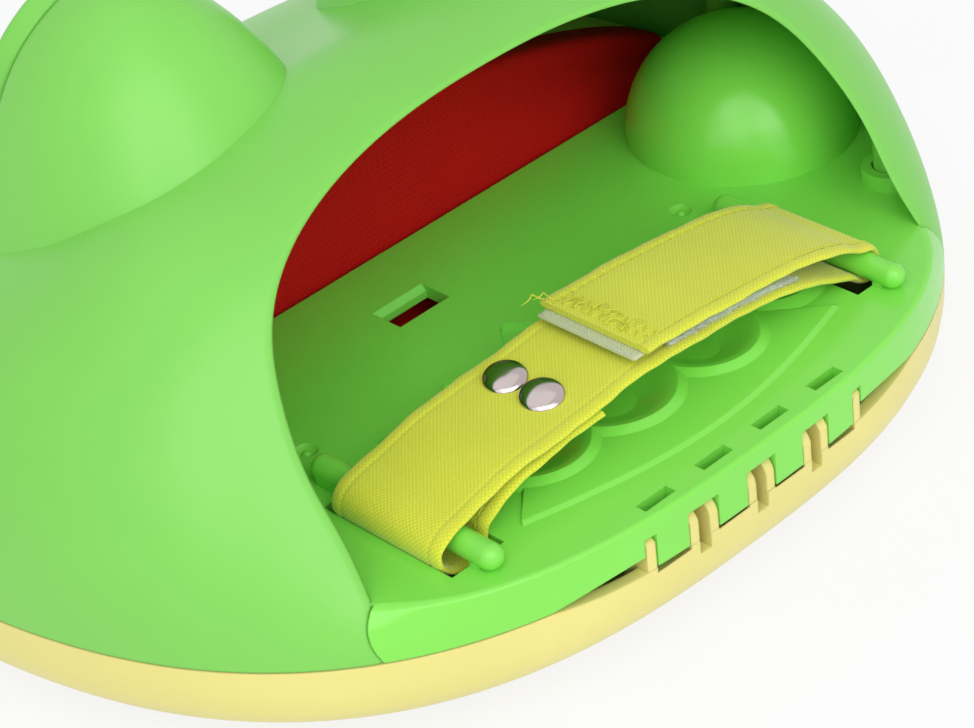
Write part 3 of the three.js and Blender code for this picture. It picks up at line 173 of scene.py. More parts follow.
def revolve(profile, steps=64):
    """Solid of revolution about Z from (radius, z) points: a body on the axis, or a closed ring."""
    profile = np.asarray(profile, float)
    angle = np.linspace(0, 2 * pi, steps, endpoint=False)
    on_axis = abs(profile[0, 0]) < 1e-9
    body = profile[1:-1] if on_axis else profile
    rings = np.stack([np.column_stack([r * np.cos(angle), r * np.sin(angle), np.full(steps, z)])
                      for r, z in body])
    if on_axis:
        return loft(rings, (0, 0, profile[0, 1]), (0, 0, profile[-1, 1]), flip=True)
    top = (len(body) - 1) * steps
    faces = grid_faces(len(body), steps, wrap=True, flip=True)
    faces += [[j, top + j, top + (j + 1) % steps, (j + 1) % steps] for j in range(steps)]
    return rings.reshape(-1, 3), faces


def moved(solid, matrix=None, offset=(0, 0, 0)):
    points, faces = solid
    if matrix is not None:
        points = points @ np.asarray(matrix, float).T
    return points + np.asarray(offset, float), faces


def disc(z0, z1, radius, top_radius=None, steps=48):
    """Cylinder or cone about Z."""
    top = radius if top_radius is None else top_radius
    return revolve([(0, z0), (radius, z0), (top, z1), (0, z1)], steps)


def upright(x, y, z0, z1, radius, top_radius=None, steps=48):
    return moved(disc(z0, z1, radius, top_radius, steps), None, (x, y, 0))


def rod(x0, x1, radius):
    """Cylinder along the jaw's hinge line."""
    turn = np.array([[0, 0, 1], [0, 1, 0], [-1, 0, 0]], float)
    return moved(disc(x0, x1, radius), turn, (0, AXIS_Y, AXIS_Z))


def ball(centre, radii, plan=2.0, rise=2.0, steps=96):
    lat = np.linspace(-pi / 2, pi / 2, steps // 2 + 1)[1:-1]
    lon = np.linspace(0, 2 * pi, steps, endpoint=False)
    out = np.cos(lat) ** (2 / rise)
    up = signed_power(np.sin(lat), 2 / rise)
    rings = np.stack([
        out[:, None] * signed_power(np.cos(lon), 2 / plan)[None] * radii[0],
        out[:, None] * signed_power(np.sin(lon), 2 / plan)[None] * radii[1],
        np.repeat(up[:, None], steps, 1) * radii[2]], -1)
    return moved(loft(rings, (0, 0, -radii[2]), (0, 0, radii[2]), flip=True), None, centre)


def mesh_of(solid, name="solid"):
    """Mesh of a solid's points and faces, its normals outwards; a mesh stays as it is."""
    if isinstance(solid, bpy.types.Mesh):
        return solid
    data = bpy.data.meshes.new(name)
    data.from_pydata(place(solid[0]).tolist(), [], [list(f) for f in solid[1]])
    data.update()
    shape = bmesh.new()
    shape.from_mesh(data)
    bmesh.ops.recalc_face_normals(shape, faces=shape.faces)
    if shape.calc_volume(signed=True) < 0:
        bmesh.ops.reverse_faces(shape, faces=shape.faces)
    shape.to_mesh(data)
    shape.free()
    return data


def linked(name, data):
    obj = bpy.data.objects.new(name, data)
    bpy.context.scene.collection.objects.link(obj)
    return obj


def evaluated(obj):
    graph = bpy.context.evaluated_depsgraph_get()
    return bpy.data.meshes.new_from_object(obj.evaluated_get(graph), depsgraph=graph)


def carve(base, steps):
    """Mesh of a solid after a list of ("add" | "cut" | "keep", solid) steps."""
    words = {"add": "UNION", "cut": "DIFFERENCE", "keep": "INTERSECT"}
    obj = linked("base", mesh_of(base))
    tools = []
    for word, solid in steps:
        tools.append(linked("tool", mesh_of(solid)))
        mod = obj.modifiers.new("cut", "BOOLEAN")
        mod.operation, mod.object, mod.solver = words[word], tools[-1], "MANIFOLD"
    result = evaluated(obj)
    for o in [obj, *tools]:
        bpy.data.objects.remove(o)
    return result


def paint(obj, look):
    obj.data.materials.clear()
    obj.data.materials.append(look)


def piece(name, solid, body, look, nodes=(), angle=32, weighted=False, rides=True):
    data = mesh_of(solid, name)
    data.name = name
    data.shade_smooth()
    data.set_sharp_from_angle(angle=radians(angle))
    obj = linked(name, data)
    if weighted:
        mod = obj.modifiers.new("normals", "WEIGHTED_NORMAL")
        mod.keep_sharp, mod.weight = True, 90
        final = evaluated(obj)
        obj.modifiers.clear()
        obj.data = final
    paint(obj, look)
    if rides:
        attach(obj, body)
    if nodes:
        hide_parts(*nodes)
    return obj


# Head surfaces

def hermite(a, b, way_a, way_b, t):
    """Point of the cubic that leaves a along way_a and reaches b along way_b."""
    return ((2 * a - 2 * b + way_a + way_b) * t ** 3
            + (-3 * a + 3 * b - 2 * way_a - way_b) * t ** 2 + way_a * t + a)


def smooth_line(points, steps):
    """Smooth line through points, with equal steps between neighbours."""
    points = np.asarray(points, float)
    last, out = len(points) - 1, []
    for i in range(last):
        p0, p1, p2, p3 = (points[min(max(k, 0), last)] for k in range(i - 1, i + 3))
        for t in np.linspace(0, 1, steps, endpoint=False):
            out.append(hermite(p1, p2, (p2 - p0) / 2, (p3 - p1) / 2, t))
    return np.array(out + [points[-1]])


TABLE = smooth_line([(FRONT_Y + a * (REAR_Y - FRONT_Y), SEAM_Z + u * CROWN)
                     for a, u in PROFILE], 24)
SMOOTH_Y = np.arange(FRONT_Y, TABLE[-1, 0], 0.5)


def smooth_top():
    raw = np.interp(SMOOTH_Y, TABLE[:, 0], TABLE[:, 1])
    kernel = np.exp(-(np.arange(-BLUR_REACH, BLUR_REACH + 1) / BLUR_WIDTH) ** 2)
    kernel /= kernel.sum()
    padded = np.pad(raw, BLUR_REACH, mode="reflect", reflect_type="odd")
    soft = np.convolve(padded, kernel, mode="valid")
    share = np.clip((SMOOTH_Y - FRONT_Y - NOSE_KEPT) / NOSE_FADE, 0, 1)
    drop = REAR_DROP * np.clip((SMOOTH_Y + REAR_DROP_LENGTH) / REAR_DROP_LENGTH, 0, 1)
    return raw + (soft - raw) * share - drop


TOP_Z = smooth_top()


def top_z(y):
    return np.interp(y, SMOOTH_Y, TOP_Z)


def half_width(y, inset=0.0):
    y = np.asarray(y, float)
    half = np.where(y > WIDEST_Y, REAR_LENGTH, FRONT_LENGTH) - inset
    share = np.clip(np.abs(y - WIDEST_Y) / half, 0, 1)
    return (HALF_WIDTH - inset) * (1 - share ** OUTLINE_POWER) ** (1 / OUTLINE_POWER)


def ring(z, inset=0.0, scale=1.0):
    """Outline of the head in plan, as a ring of points at one height."""
    a = np.linspace(0, 2 * pi, RING_STEPS, endpoint=False)
    half = np.where(np.sin(a) > 0, REAR_LENGTH, FRONT_LENGTH) - inset
    x = (HALF_WIDTH - inset) * scale * signed_power(np.cos(a), 2 / OUTLINE_POWER)
    y = WIDEST_Y + half * scale * signed_power(np.sin(a), 2 / OUTLINE_POWER)
    return np.column_stack([x, y, np.full(RING_STEPS, z)])[::-1]


SLOPE = tan(radians(ARCH_LEAN))


def arch_y(z):
    return np.where(z > 0, ARCH_FOOT_Y - SLOPE * z, ARCH_FOOT_Y + FOOT_SPLAY * z / SEAM_Z)


def head_rows(inset, stop_before=0.0, arch=True, rim=None):
    """Grid of the head's skin, from the nose to the hand opening, one row per section."""
    wall = inset
    nose = np.sin(np.linspace(pi / 2, 0, 44)[1:]) ** (2 / OUTLINE_POWER)
    foot = ARCH_FOOT_Y + FOOT_SPLAY - stop_before
    feet = np.concatenate([WIDEST_Y - FRONT_LENGTH * nose,
                           WIDEST_Y + (foot - WIDEST_Y) * np.linspace(0, 1, 60)[1:]])
    lean_from = WIDEST_Y + 4
    share = np.clip((feet - lean_from) / (foot - lean_from), 0, 1)
    weight = share * share * (3 - 2 * share) if arch else np.zeros_like(share)
    phi = np.linspace(0, pi, HEAD_COLS + 1)
    c = signed_power(np.cos(phi), 2 / SECTION_POWER)
    s = np.abs(np.sin(phi)) ** (2 / SECTION_POWER)
    rows = []
    for at, w in zip(feet, weight):
        if rim is not None:
            inset = rim + (wall - rim) * min((foot - at) / RIM_TAPER, 1)
        low, high = np.full(len(phi), -130.0), np.full(len(phi), at + 1e-6)
        for _ in range(40 if w > 0 else 0):
            mid = (low + high) / 2
            z = SEAM_Z + (np.maximum(top_z(mid) - inset, SEAM_Z + GAP) - SEAM_Z) * s
            short = mid - at - w * (arch_y(z) - arch_y(np.float64(SEAM_Z))) < 0
            low, high = np.where(short, mid, low), np.where(short, high, mid)
        y = high if w > 0 else np.full(len(phi), at)
        top = np.maximum(top_z(y) - inset, SEAM_Z + GAP)
        front = WIDEST_Y + (y - WIDEST_Y) * (FRONT_LENGTH - inset) / FRONT_LENGTH
        y = np.where(y < WIDEST_Y, front, y)
        rows.append(np.column_stack([half_width(y, inset) * c, y, SEAM_Z + (top - SEAM_Z) * s]))
    return np.array(rows)


def head_shell():
    """Closed skin of the upper head with a rounded rim round the hand opening."""
    round_off = RIM * 0.45
    outer, inner = head_rows(0.0, round_off), head_rows(WALL, round_off, rim=RIM)
    middle = (outer[-1] + inner[-1]) / 2
    way = (outer[-1] - outer[-2] + inner[-1] - inner[-2]) / 2
    way *= round_off / np.maximum(way[:, 1:2], 1e-6)
    rim = [middle + (outer[-1] - middle) * cos(a) + way * sin(a)
           for a in np.linspace(0, pi, 13)[1:-1]]
    grid = np.concatenate([outer, np.array(rim), inner[::-1]])
    rows, cols = grid.shape[:2]
    points = grid.reshape(-1, 3).tolist()
    faces = grid_faces(rows, cols)
    last = (rows - 1) * cols
    points += [[0, FRONT_Y, SEAM_Z], [0, FRONT_Y + WALL, SEAM_Z]]
    tip, inner_tip = len(points) - 2, len(points) - 1
    faces += [[tip, j, j + 1] for j in range(cols - 1)]
    faces += [[inner_tip, last + j + 1, last + j] for j in range(cols - 1)]
    count = len(outer)
    for col, flip in ((0, False), (cols - 1, True)):
        strip = [[tip, inner_tip, last + col, col]]
        for i in range(count - 1):
            a, b = i * cols + col, (i + 1) * cols + col
            c, d = (rows - 2 - i) * cols + col, (rows - 1 - i) * cols + col
            strip.append([a, d, c, b])
        strip.append([i * cols + col for i in range(count - 1, rows - count + 1)][::-1])
        faces += [f[::-1] if flip else f for f in strip]
    return np.array(points), faces


def head_body(inset, base_z=None):
    """Solid of the head down to the seam or below it, without the arch."""
    rows = head_rows(inset, arch=False)
    if base_z is not None:
        drop = rows[:, [-1, 0]].copy()
        drop[..., 2] = base_z
        rows = np.concatenate([rows, drop], 1)
    front = (0, FRONT_Y + inset, SEAM_Z if base_z is None else (SEAM_Z + base_z) / 2)
    return loft(rows, front)


def behind_arch(gap):
    """Everything behind the arch's plane, or a gap before it."""
    low, high, wide = SEAM_Z - 8, CROWN + 8, HALF_WIDTH + 6
    foot = ARCH_FOOT_Y + FOOT_SPLAY - gap
    return prism([(foot, low), (REAR_Y + 8, low), (REAR_Y + 8, high),
                  (ARCH_FOOT_Y - gap - SLOPE * high, high), (ARCH_FOOT_Y - gap, 0),
                  (foot, SEAM_Z)], -wide, wide, 0)


# Eyes

def look_axes(side):
    yaw, pitch = radians(EYE_YAW), radians(EYE_PITCH)
    look = Vector((side * sin(yaw) * cos(pitch), -cos(yaw) * cos(pitch), sin(pitch)))
    return np.array(Vector((0, 0, 1)).rotation_difference(look).to_matrix())


def at_eye(solid, side):
    return moved(solid, look_axes(side), (side * EYE[0], EYE[1], EYE[2]))


def eye_bulge(side, inset, face, reach):
    """Brow dome that ends in a flat face, with a round neck through the face for the eye ring."""
    centre = (side * BULGE[0], BULGE[1], BULGE[2])
    form = ball(centre, [r - inset for r in BULGE_RADII], BULGE_PLAN_POWER, BULGE_RISE_POWER, 192)
    far = 120
    beyond = at_eye(box(-far, far, -far, far, face, face + far), side)
    above = box(-HALF_WIDTH, HALF_WIDTH, FRONT_Y, REAR_Y, SEAM_Z, far)
    radius = BEZEL_RADIUS - inset
    neck = at_eye(disc(0, reach, radius, steps=96), side)
    flare = at_eye(disc(-far, face, radius + FACE_FLARE * (face + far), radius, 128), side)
    return carve(form, [("keep", above), ("cut", beyond), ("keep", flare), ("add", neck)])


EYE_SECTION = BEZEL_RADIUS - BEZEL_WALL - GAP
EYE_RISE = BEZEL_LENGTH + EYEBALL_PROUD
EYEBALL_RADIUS = (EYE_SECTION ** 2 + EYE_RISE ** 2) / (2 * EYE_RISE)
EYEBALL_CENTRE = EYE_CUT + GAP + EYE_RISE - EYEBALL_RADIUS


def eye_arc(radius, start, end, steps=24):
    out = np.linspace(start, end, steps)
    return list(zip(out, EYEBALL_CENTRE + np.sqrt(radius ** 2 - out ** 2)))


def eye_socket(side):
    room, far = BEZEL_RADIUS + GAP, EYE_CUT + BEZEL_LENGTH + 2 * GAP
    hole = at_eye(disc(EYE_CUT, far, room, steps=96), side)
    swell = revolve([(0, EYE_CUT), (EYE_SECTION, EYE_CUT)]
                    + eye_arc(EYEBALL_RADIUS + PUPIL_THICKNESS + 2 * GAP, EYE_SECTION, 0), 96)
    return [("cut", hole), ("cut", at_eye(swell, side))]


def make_shell(look):
    skin = head_shell()
    steps = []
    trim = head_body(WALL / 2, SEAM_Z - OVER)
    for side in (-1, 1):
        steps.append(("add", carve(eye_bulge(side, 0, EYE_CUT, EYE_CUT), [("cut", trim)])))
    for side in (-1, 1):
        steps.append(("cut", eye_bulge(side, WALL, EYE_CUT - WALL, EYE_CUT + OVER)))
        steps += eye_socket(side)
    bounds = head_body(WALL / 2)
    for side in (-1, 1):
        for x, y in POSTS:
            post = upright(side * x, y, GAP, CROWN, POST_RADIUS)
            steps.append(("add", carve(post, [("keep", bounds), ("cut", behind_arch(1.0))])))
            steps.append(("cut", upright(side * x, y, -1, 9, POST_BORE)))
        nostril = (side * NOSTRIL[0], FRONT_Y + NOSTRIL[1], SEAM_Z + NOSTRIL[2])
        steps.append(("cut", ball(nostril, (NOSTRIL_RADIUS,) * 3, steps=48)))
    piece("head_shell", carve(skin, steps), "head", look, ["upper_shell"])


def make_eyes(green, white, black):
    inner, back = BEZEL_RADIUS - BEZEL_WALL, EYE_CUT + GAP
    front, soft = back + BEZEL_LENGTH, BEZEL_WALL / 2
    low, high = EYEBALL_RADIUS + GAP, EYEBALL_RADIUS + GAP + PUPIL_THICKNESS
    bead = [(BEZEL_RADIUS - soft + soft * cos(a), front - soft + soft * sin(a))
            for a in np.linspace(0, pi, 17)]
    bezel = revolve([(inner, back), (BEZEL_RADIUS - 0.4, back), (BEZEL_RADIUS, back + 0.4)]
                    + bead, 128)
    globe = revolve([(0, back), (EYE_SECTION, back)]
                    + eye_arc(EYEBALL_RADIUS, EYE_SECTION, 0, 40), 96)
    pupil = revolve(eye_arc(low, 0, PUPIL_RADIUS)
                    + eye_arc(high - 0.3, PUPIL_RADIUS + .001, PUPIL_RADIUS, 2)
                    + eye_arc(high, PUPIL_RADIUS - 0.5, 0), 96)
    for label, side in (("left", 1), ("right", -1)):
        for name, solid, look, slot, node in (("ring", bezel, green, "shell_green", "eye_bezel"),
                                              ("globe", globe, white, "eye_white", "eyeball"),
                                              ("pupil", pupil, black, "pupil_black", "pupil")):
            piece(f"eye_{name}_{label}", at_eye(solid, side), "head", look,
                  [f"{node}_{label}"])


# Palm deck

def leaned(line):
    """Deck edge drawn in near the arch foot, flush with the shell's section there."""
    height = np.clip((line[:, 2] - SEAM_Z) / FOOT_RISE, 0, 1)
    fade = np.clip((FOOT_FADE_Y - line[:, 1]) / FOOT_FADE, 0, 1)
    share = 1 - (1 - (1 - height ** SECTION_POWER) ** (1 / SECTION_POWER)) * fade
    return np.column_stack([line[:, 0] * share, line[:, 1:]])


def deck_base():
    rings = [ring(z) for z in (SEAM_Z, -7.5, -5.5, -3.5, -2.0)]
    for a in np.linspace(0, pi / 2, 9):
        rings.append(ring(EDGE_ROUND * (sin(a) - 1), EDGE_ROUND * (1 - cos(a))))
    rear = loft([leaned(line) for line in rings[::-1]])
    hollow = loft([ring(-DECK, SKIRT), ring(SEAM_Z - OVER, SKIRT)])
    ys = np.linspace(DECK_FRONT_Y, ARCH_FOOT_Y + 6, 90)
    lean = 1 - ((-SEAM_Z) / (top_z(np.minimum(ys, 40)) - SEAM_Z)) ** SECTION_POWER
    wall = RIM + (WALL - RIM) * np.clip((ARCH_FOOT_Y - ys) / RIM_TAPER, 0, 1)
    xs = half_width(ys, wall + GAP) * np.clip(lean, 0, 1) ** (1 / SECTION_POWER)
    outline = np.concatenate([np.column_stack([xs, ys]), np.column_stack([-xs, ys])[::-1]])
    slab = prism(outline, -DECK, 0)
    return carve(rear, [("keep", behind_arch(-GAP)), ("cut", hollow), ("add", slab)])


def dome_form(side, inset):
    form = ball((side * DOME_X, DOME_Y, 0), (DOME_RADIUS - inset,) * 3, steps=160)
    steps = []
    if inset:
        foot = upright(side * DOME_X, DOME_Y, -DECK - GAP, 0, DOME_RADIUS - inset, steps=160)
        steps.append(("add", foot))
    low = -DECK - GAP if inset else -DECK
    steps.append(("keep", box(-HALF_WIDTH, HALF_WIDTH, FRONT_Y, REAR_Y, low, 40)))
    steps.append(("keep", head_body(WALL + 0.9 + inset, SEAM_Z - OVER)))
    return carve(form, steps)


def strap_bar(side):
    length = BAR_REAR_Y - BAR_FRONT_Y - 2 * BAR_RADIUS
    arc = np.linspace(-pi / 2, 0, 13)
    profile = [(BAR_RADIUS * cos(a), BAR_RADIUS * sin(a)) for a in arc]
    profile += [(BAR_RADIUS * cos(a), length + BAR_RADIUS * sin(a)) for a in arc + pi / 2]
    profile[0], profile[-1] = (0, -BAR_RADIUS), (0, length + BAR_RADIUS)
    turn = np.array([[1, 0, 0], [0, 0, 1], [0, -1, 0]], float)
    return moved(revolve(profile, 48), turn, (side * BAR_X, BAR_FRONT_Y + BAR_RADIUS, BAR_Z))


def hinge_tab(x):
    half, bottom = TAB_WIDTH / 2, AXIS_Z - TAB_DROP
    body = box(x - half, x + half, AXIS_Y - 3.4, REAR_Y, bottom, -DECK / 2)
    bore = ROD_RADIUS + GAP
    mouth = box(x - half - 1, x + half + 1, AXIS_Y - OVER, AXIS_Y, bottom - 1, AXIS_Z - bore / 2)
    return carve(body, [
        ("keep", loft([ring(1), ring(bottom - OVER)])),
        ("cut", rod(x - half - 1, x + half + 1, bore)), ("cut", mouth)])


def hinge_half():
    return (3 * TAB_PITCH + TAB_WIDTH) / 2 + GAP + FIN_WIDTH


def crescent(inner, z, rise):
    """Right half of a crescent opening's curved edge, in X and Z."""
    return [(CRESCENT + (inner - CRESCENT) * t, z + rise * sin(t * pi / 2))
            for t in np.linspace(0, 1, 13)]


def left_half(outline):
    return [(-x, z) for x, z in outline]


def skirt_cut():
    inner, low = hinge_half() + GAP, SEAM_Z - OVER
    right = [(CRESCENT, low), *crescent(inner, SEAM_Z, SKIRT_CRESCENT), (inner, SKIRT_CUT_Z)]
    return prism(right + left_half(right[::-1]), AXIS_Y - 10, REAR_Y + OVER, 1)


# Field under the strap: sunken with pointed tips in front, finger bowls with a raised lip behind
RECESS_LOBES = [(-40.5, 29.5, 11.5), (-18.5, 32.5, 13.6), (4.0, 30.5, 15.1), (24.5, 30.2, 13.9)]
RECESS_TIPS = [(-39.0, 6.7), (-20.0, 3.4), (0.0, -1.5), (20.0, 3.4), (39.0, 6.7)]
RECESS_VALLEY_Y = (15.5, 14.5, 11.5, 11.5, 14.5, 15.5)
RECESS_HALF, RECESS_FLOOR, RECESS_MIDDLE, TIP_ROUND = 46.3, 0.95, 29.0, 0.18
LIP_WIDTH, LIP_RISE, LIP_END_X = 2.4, 1.4, 39.0
BOWL = [(2.5, 4), (2.5, 1.4), (3.6, 1.05), (4.8, 0.5), (6.4, -0.4), (8.0, -1.3), (10.0, -2.1)]
PLATE_REAR = [(42.0, 46.2), (29.0, 49.6), (14.5, 52.4), (0.0, 53.4)]
PLATE_FRONT = [(-35.0, 39.0), (-35.0, 30.0), (35.0, 30.0), (35.0, 39.0)]
PLATE_RISE, PLATE_BEVEL = 0.4, 1.0


def recess_tips():
    """Plan outline of the zigzag front half, with rounded points."""
    points = [(-RECESS_HALF, RECESS_MIDDLE), (-RECESS_HALF, RECESS_VALLEY_Y[0])]
    for i, (x, y) in enumerate(RECESS_TIPS):
        before = -RECESS_HALF if i == 0 else (RECESS_TIPS[i - 1][0] + x) / 2
        after = RECESS_HALF if i == len(RECESS_TIPS) - 1 else (RECESS_TIPS[i + 1][0] + x) / 2
        for t in np.linspace(0, 1, 9):
            left = np.array((x + (before - x) * TIP_ROUND,
                             y + (RECESS_VALLEY_Y[i] - y) * TIP_ROUND))
            right = np.array((x + (after - x) * TIP_ROUND,
                              y + (RECESS_VALLEY_Y[i + 1] - y) * TIP_ROUND))
            tip = 2 * t * (1 - t) * np.array((x, y))
            points.append(tuple((1 - t) ** 2 * left + tip + t * t * right))
        points.append((after, RECESS_VALLEY_Y[i + 1]))
    points.append((RECESS_HALF, RECESS_MIDDLE))
    return prism(np.array(points), -RECESS_FLOOR, 1)


def finger_lip(x, y, radius):
    """Low round plateau with a chamfer, which the bowl turns into a lip."""
    profile = [(0, -1), (radius, -1), (radius, 0), (radius - LIP_WIDTH, LIP_RISE), (0, LIP_RISE)]
    return moved(revolve(profile, 160), None, (x, y, 0))


def finger_bowl(x, y, radius):
    profile = [(radius - inward, height) for inward, height in BOWL]
    return moved(revolve([(0, 4)] + profile + [(0, -2.35)], 160), None, (x, y, 0))


def rear_plate():
    """Thin raised plate round the finger field, with a bevelled edge."""
    arc = centripetal(PLATE_REAR + [(-x, y) for x, y in PLATE_REAR[-2::-1]], 8)
    line = np.concatenate([arc, np.array(PLATE_FRONT)])
    drawn = line - np.column_stack([np.sign(line[:, 0]) * PLATE_BEVEL * 0.6,
                                    np.where(line[:, 1] > 40, PLATE_BEVEL, 0)])
    return loft([np.insert(outline, 2, z, axis=1)
                 for outline, z in ((drawn, PLATE_RISE), (line, 0), (line, -1))])


def recess_steps():
    rear = box(-RECESS_HALF, LIP_END_X, RECESS_MIDDLE, 60, -DECK, 3)
    wide = box(-RECESS_HALF, LIP_END_X, -20, 60, -DECK, 4)
    steps = [("add", rear_plate()), ("cut", recess_tips())]
    steps += [("add", carve(finger_lip(*lobe), [("keep", rear)])) for lobe in RECESS_LOBES]
    return steps + [("cut", carve(finger_bowl(*lobe), [("keep", wide)])) for lobe in RECESS_LOBES]


def make_deck(look):
    steps = []
    for side in (-1, 1):
        steps += [("add", dome_form(side, 0)), ("cut", dome_form(side, DOME_WALL))]
        for x, y in POSTS:
            collar = upright(side * x, y, -DECK, COLLAR_HEIGHT, COLLAR_RADIUS, COLLAR_RADIUS - 0.3)
            steps.append(("add", carve(collar, [("keep", head_body(WALL + GAP, SEAM_Z - 1))])))
        x = side * BAR_X
        half, low = OPEN_WIDTH / 2, -DECK + 0.1
        steps += [("cut", box(x - half, x + half, OPEN_FRONT_Y, OPEN_REAR_Y, -6, 1)),
                  ("add", strap_bar(side))]
        for half, y0, y1 in ((BAR_RADIUS, BAR_FRONT_Y + BAR_RADIUS, OPEN_FRONT_Y),
                             (BAR_RADIUS - 0.4, OPEN_REAR_Y, BAR_REAR_Y - BAR_RADIUS * 1.4)):
            steps.append(("add", box(x - half, x + half, y0, y1, low, BAR_Z)))
        steps += [("cut", ball((side * PIP_X, PIP_Y, 2.5), (PIP_RADIUS,) * 3, steps=64)),
                  ("add", ball((side * PIP_X, PIP_Y, -0.9), (0.9, 0.9, 0.75), steps=32))]
    steps += recess_steps()
    steps += [("cut", box(*SLOT_X, *SLOT_Y, -6, 1)), ("cut", prism(SLOT_BEVEL, *SLOT_X, 0)),
              ("cut", skirt_cut())]
    for x in TAB_XS:
        steps += [("add", hinge_tab(x)),
                  ("cut", box(x - TAB_SLOT, x + TAB_SLOT, *TAB_SLOT_Y, AXIS_Z, 1))]
    for side in (-1, 1):
        for x, y in POSTS:
            steps += [("cut", upright(side * x, y, -6, 4, DECK_BORE)),
                      ("cut", upright(side * x, y, 0.01, 6, POST_RADIUS + GAP))]
    piece("palm_plate", carve(deck_base(), steps), "head", look,
          ["palm_deck"], angle=16, weighted=True)


# Lower jaw

def jaw_bowl(inset, rim_z):
    depth = JAW_DEPTH - inset
    downs = np.array([0, .12, .25, .38, .5, .6, .68, .75, .81, .86, .9, .93, .955, JAW_FOOT_SHARE])
    rings = [ring(rim_z, inset)] if rim_z > SEAM_Z - GAP else []
    for down in downs:
        scale = (1 - down ** JAW_POWER) ** (1 / JAW_POWER)
        rings.append(ring(SEAM_Z - GAP - depth * down, inset, scale))
    return loft(rings)


def fin(x):
    half, foot = FIN_WIDTH / 2, AXIS_Z - 6.5
    web = box(x - half, x + half, AXIS_Y - FIN_RADIUS, AXIS_Y + FIN_RADIUS, foot, AXIS_Z)
    return carve(rod(x - half, x + half, FIN_RADIUS),
                 [("add", web), ("keep", loft([ring(1, GAP / 3), ring(foot - 6, GAP / 3)]))])


def make_jaw(look):
    rim = SEAM_Z - GAP
    right = [(CRESCENT, SEAM_Z + 6), *crescent(hinge_half(), rim, JAW_CRESCENT)]
    rear_cut = prism(left_half(right) + right[::-1], AXIS_Y - 10, REAR_Y + OVER, 1)
    steps = [("cut", jaw_bowl(JAW_WALL, SEAM_Z + OVER)), ("cut", rear_cut)]
    half = TAB_WIDTH / 2 + GAP
    for a, b in zip(TAB_XS, TAB_XS[1:]):
        steps.append(("cut", box(a + half + FIN_WIDTH, b - half - FIN_WIDTH,
                                 AXIS_Y - 10, REAR_Y + 6, AXIS_Z - 6, 0)))
    for x in TAB_XS:
        steps += [("add", fin(x + side * (half + FIN_WIDTH / 2))) for side in (-1, 1)]
        steps += [("cut", rod(x - half, x + half, ROD_ROOM)),
                  ("add", rod(x - half - GAP, x + half + GAP, ROD_RADIUS))]
    floor = SEAM_Z - GAP - JAW_DEPTH * JAW_FOOT_SHARE + JAW_WALL / 2
    y0, y1 = RIDGE_Y - RIDGE_WIDTH / 2, RIDGE_Y + RIDGE_WIDTH / 2
    steps.append(("add", box(-RIDGE_HALF, RIDGE_HALF, y0, y1, floor, RIDGE_TOP_Z)))
    for x in CLAMP_SCREW_XS:
        steps += [("add", upright(x, y0 + 3, floor, RIDGE_TOP_Z + 1.3, BOSS_RADIUS)),
                  ("cut", upright(x, y0 + 3, floor + GAP, 0, BOSS_BORE))]
    piece("jaw_bowl", carve(jaw_bowl(0, rim), steps), "jaw", look,
          ["lower_jaw"], weighted=True)


# Palate

def palate_rise(y):
    share = np.clip((y - FRONT_Y) / (PALATE_REAR_Y - FRONT_Y), 0, 1)
    return PALATE_HEIGHT * share ** PALATE_RISE_POWER


def vault(inset, y0, y1):
    clearance = WALL + GAP
    front = FRONT_Y + clearance + inset
    phi = np.linspace(0, pi, 121)
    rows = []
    for i in range(1, 41):
        y = front + (PALATE_REAR_Y + OVER - front) * (1 - cos(pi * i / 80))
        half = half_width(y, clearance + inset)
        rise = max(palate_rise(y) - inset, GAP)
        x = half * signed_power(np.cos(phi), 2 / PALATE_POWER)
        z = SEAM_Z + rise * np.abs(np.sin(phi)) ** (2 / PALATE_POWER)
        line = np.column_stack([x, np.full(len(phi), y), z])
        if inset:
            drop = np.array([(-half, y, SEAM_Z - OVER), (half, y, SEAM_Z - OVER)])
            line = np.concatenate([line, drop])
        rows.append(line)
    solid = loft(rows, (0, front, SEAM_Z - (OVER / 2 if inset else 0)))
    return carve(solid, [("keep", box(-HALF_WIDTH, HALF_WIDTH, y0, y1, SEAM_Z - 12, CROWN))])


def make_palate(look):
    body = carve(vault(0, FRONT_Y, PALATE_REAR_Y), [
        ("keep", head_body(WALL + 0.4, SEAM_Z - 1)),
        ("cut", vault(PALATE_WALL, FRONT_Y - OVER, PALATE_REAR_Y + OVER))])
    piece("palate_vault", body, "head", look, ["palate"])
    under = PALATE_WALL + 1 + 2 * FABRIC_CLEARANCE
    y0 = PALATE_REAR_Y - CLAMP_WIDTH
    clamp = carve(vault(under, y0, PALATE_REAR_Y), [
        ("cut", vault(under + 1.8, y0 - OVER, PALATE_REAR_Y + OVER)),
        ("keep", box(-HALF_WIDTH, HALF_WIDTH, y0, PALATE_REAR_Y, 0, CROWN))])
    piece("clamp_arch", clamp, "head", look, ["upper_clamp"])


# Mouth fabric

def palate_z(x, y, inset):
    """Height of the palate's vault, or of a surface under it."""
    share = np.clip(np.abs(x) / half_width(y, WALL + GAP + inset), 0, 1)
    return SEAM_Z + (palate_rise(y) - inset) * (1 - share ** PALATE_POWER) ** (1 / PALATE_POWER)


def palate_underside(x, y):
    return palate_z(x, y, PALATE_WALL + FABRIC_CLEARANCE + 0.5)


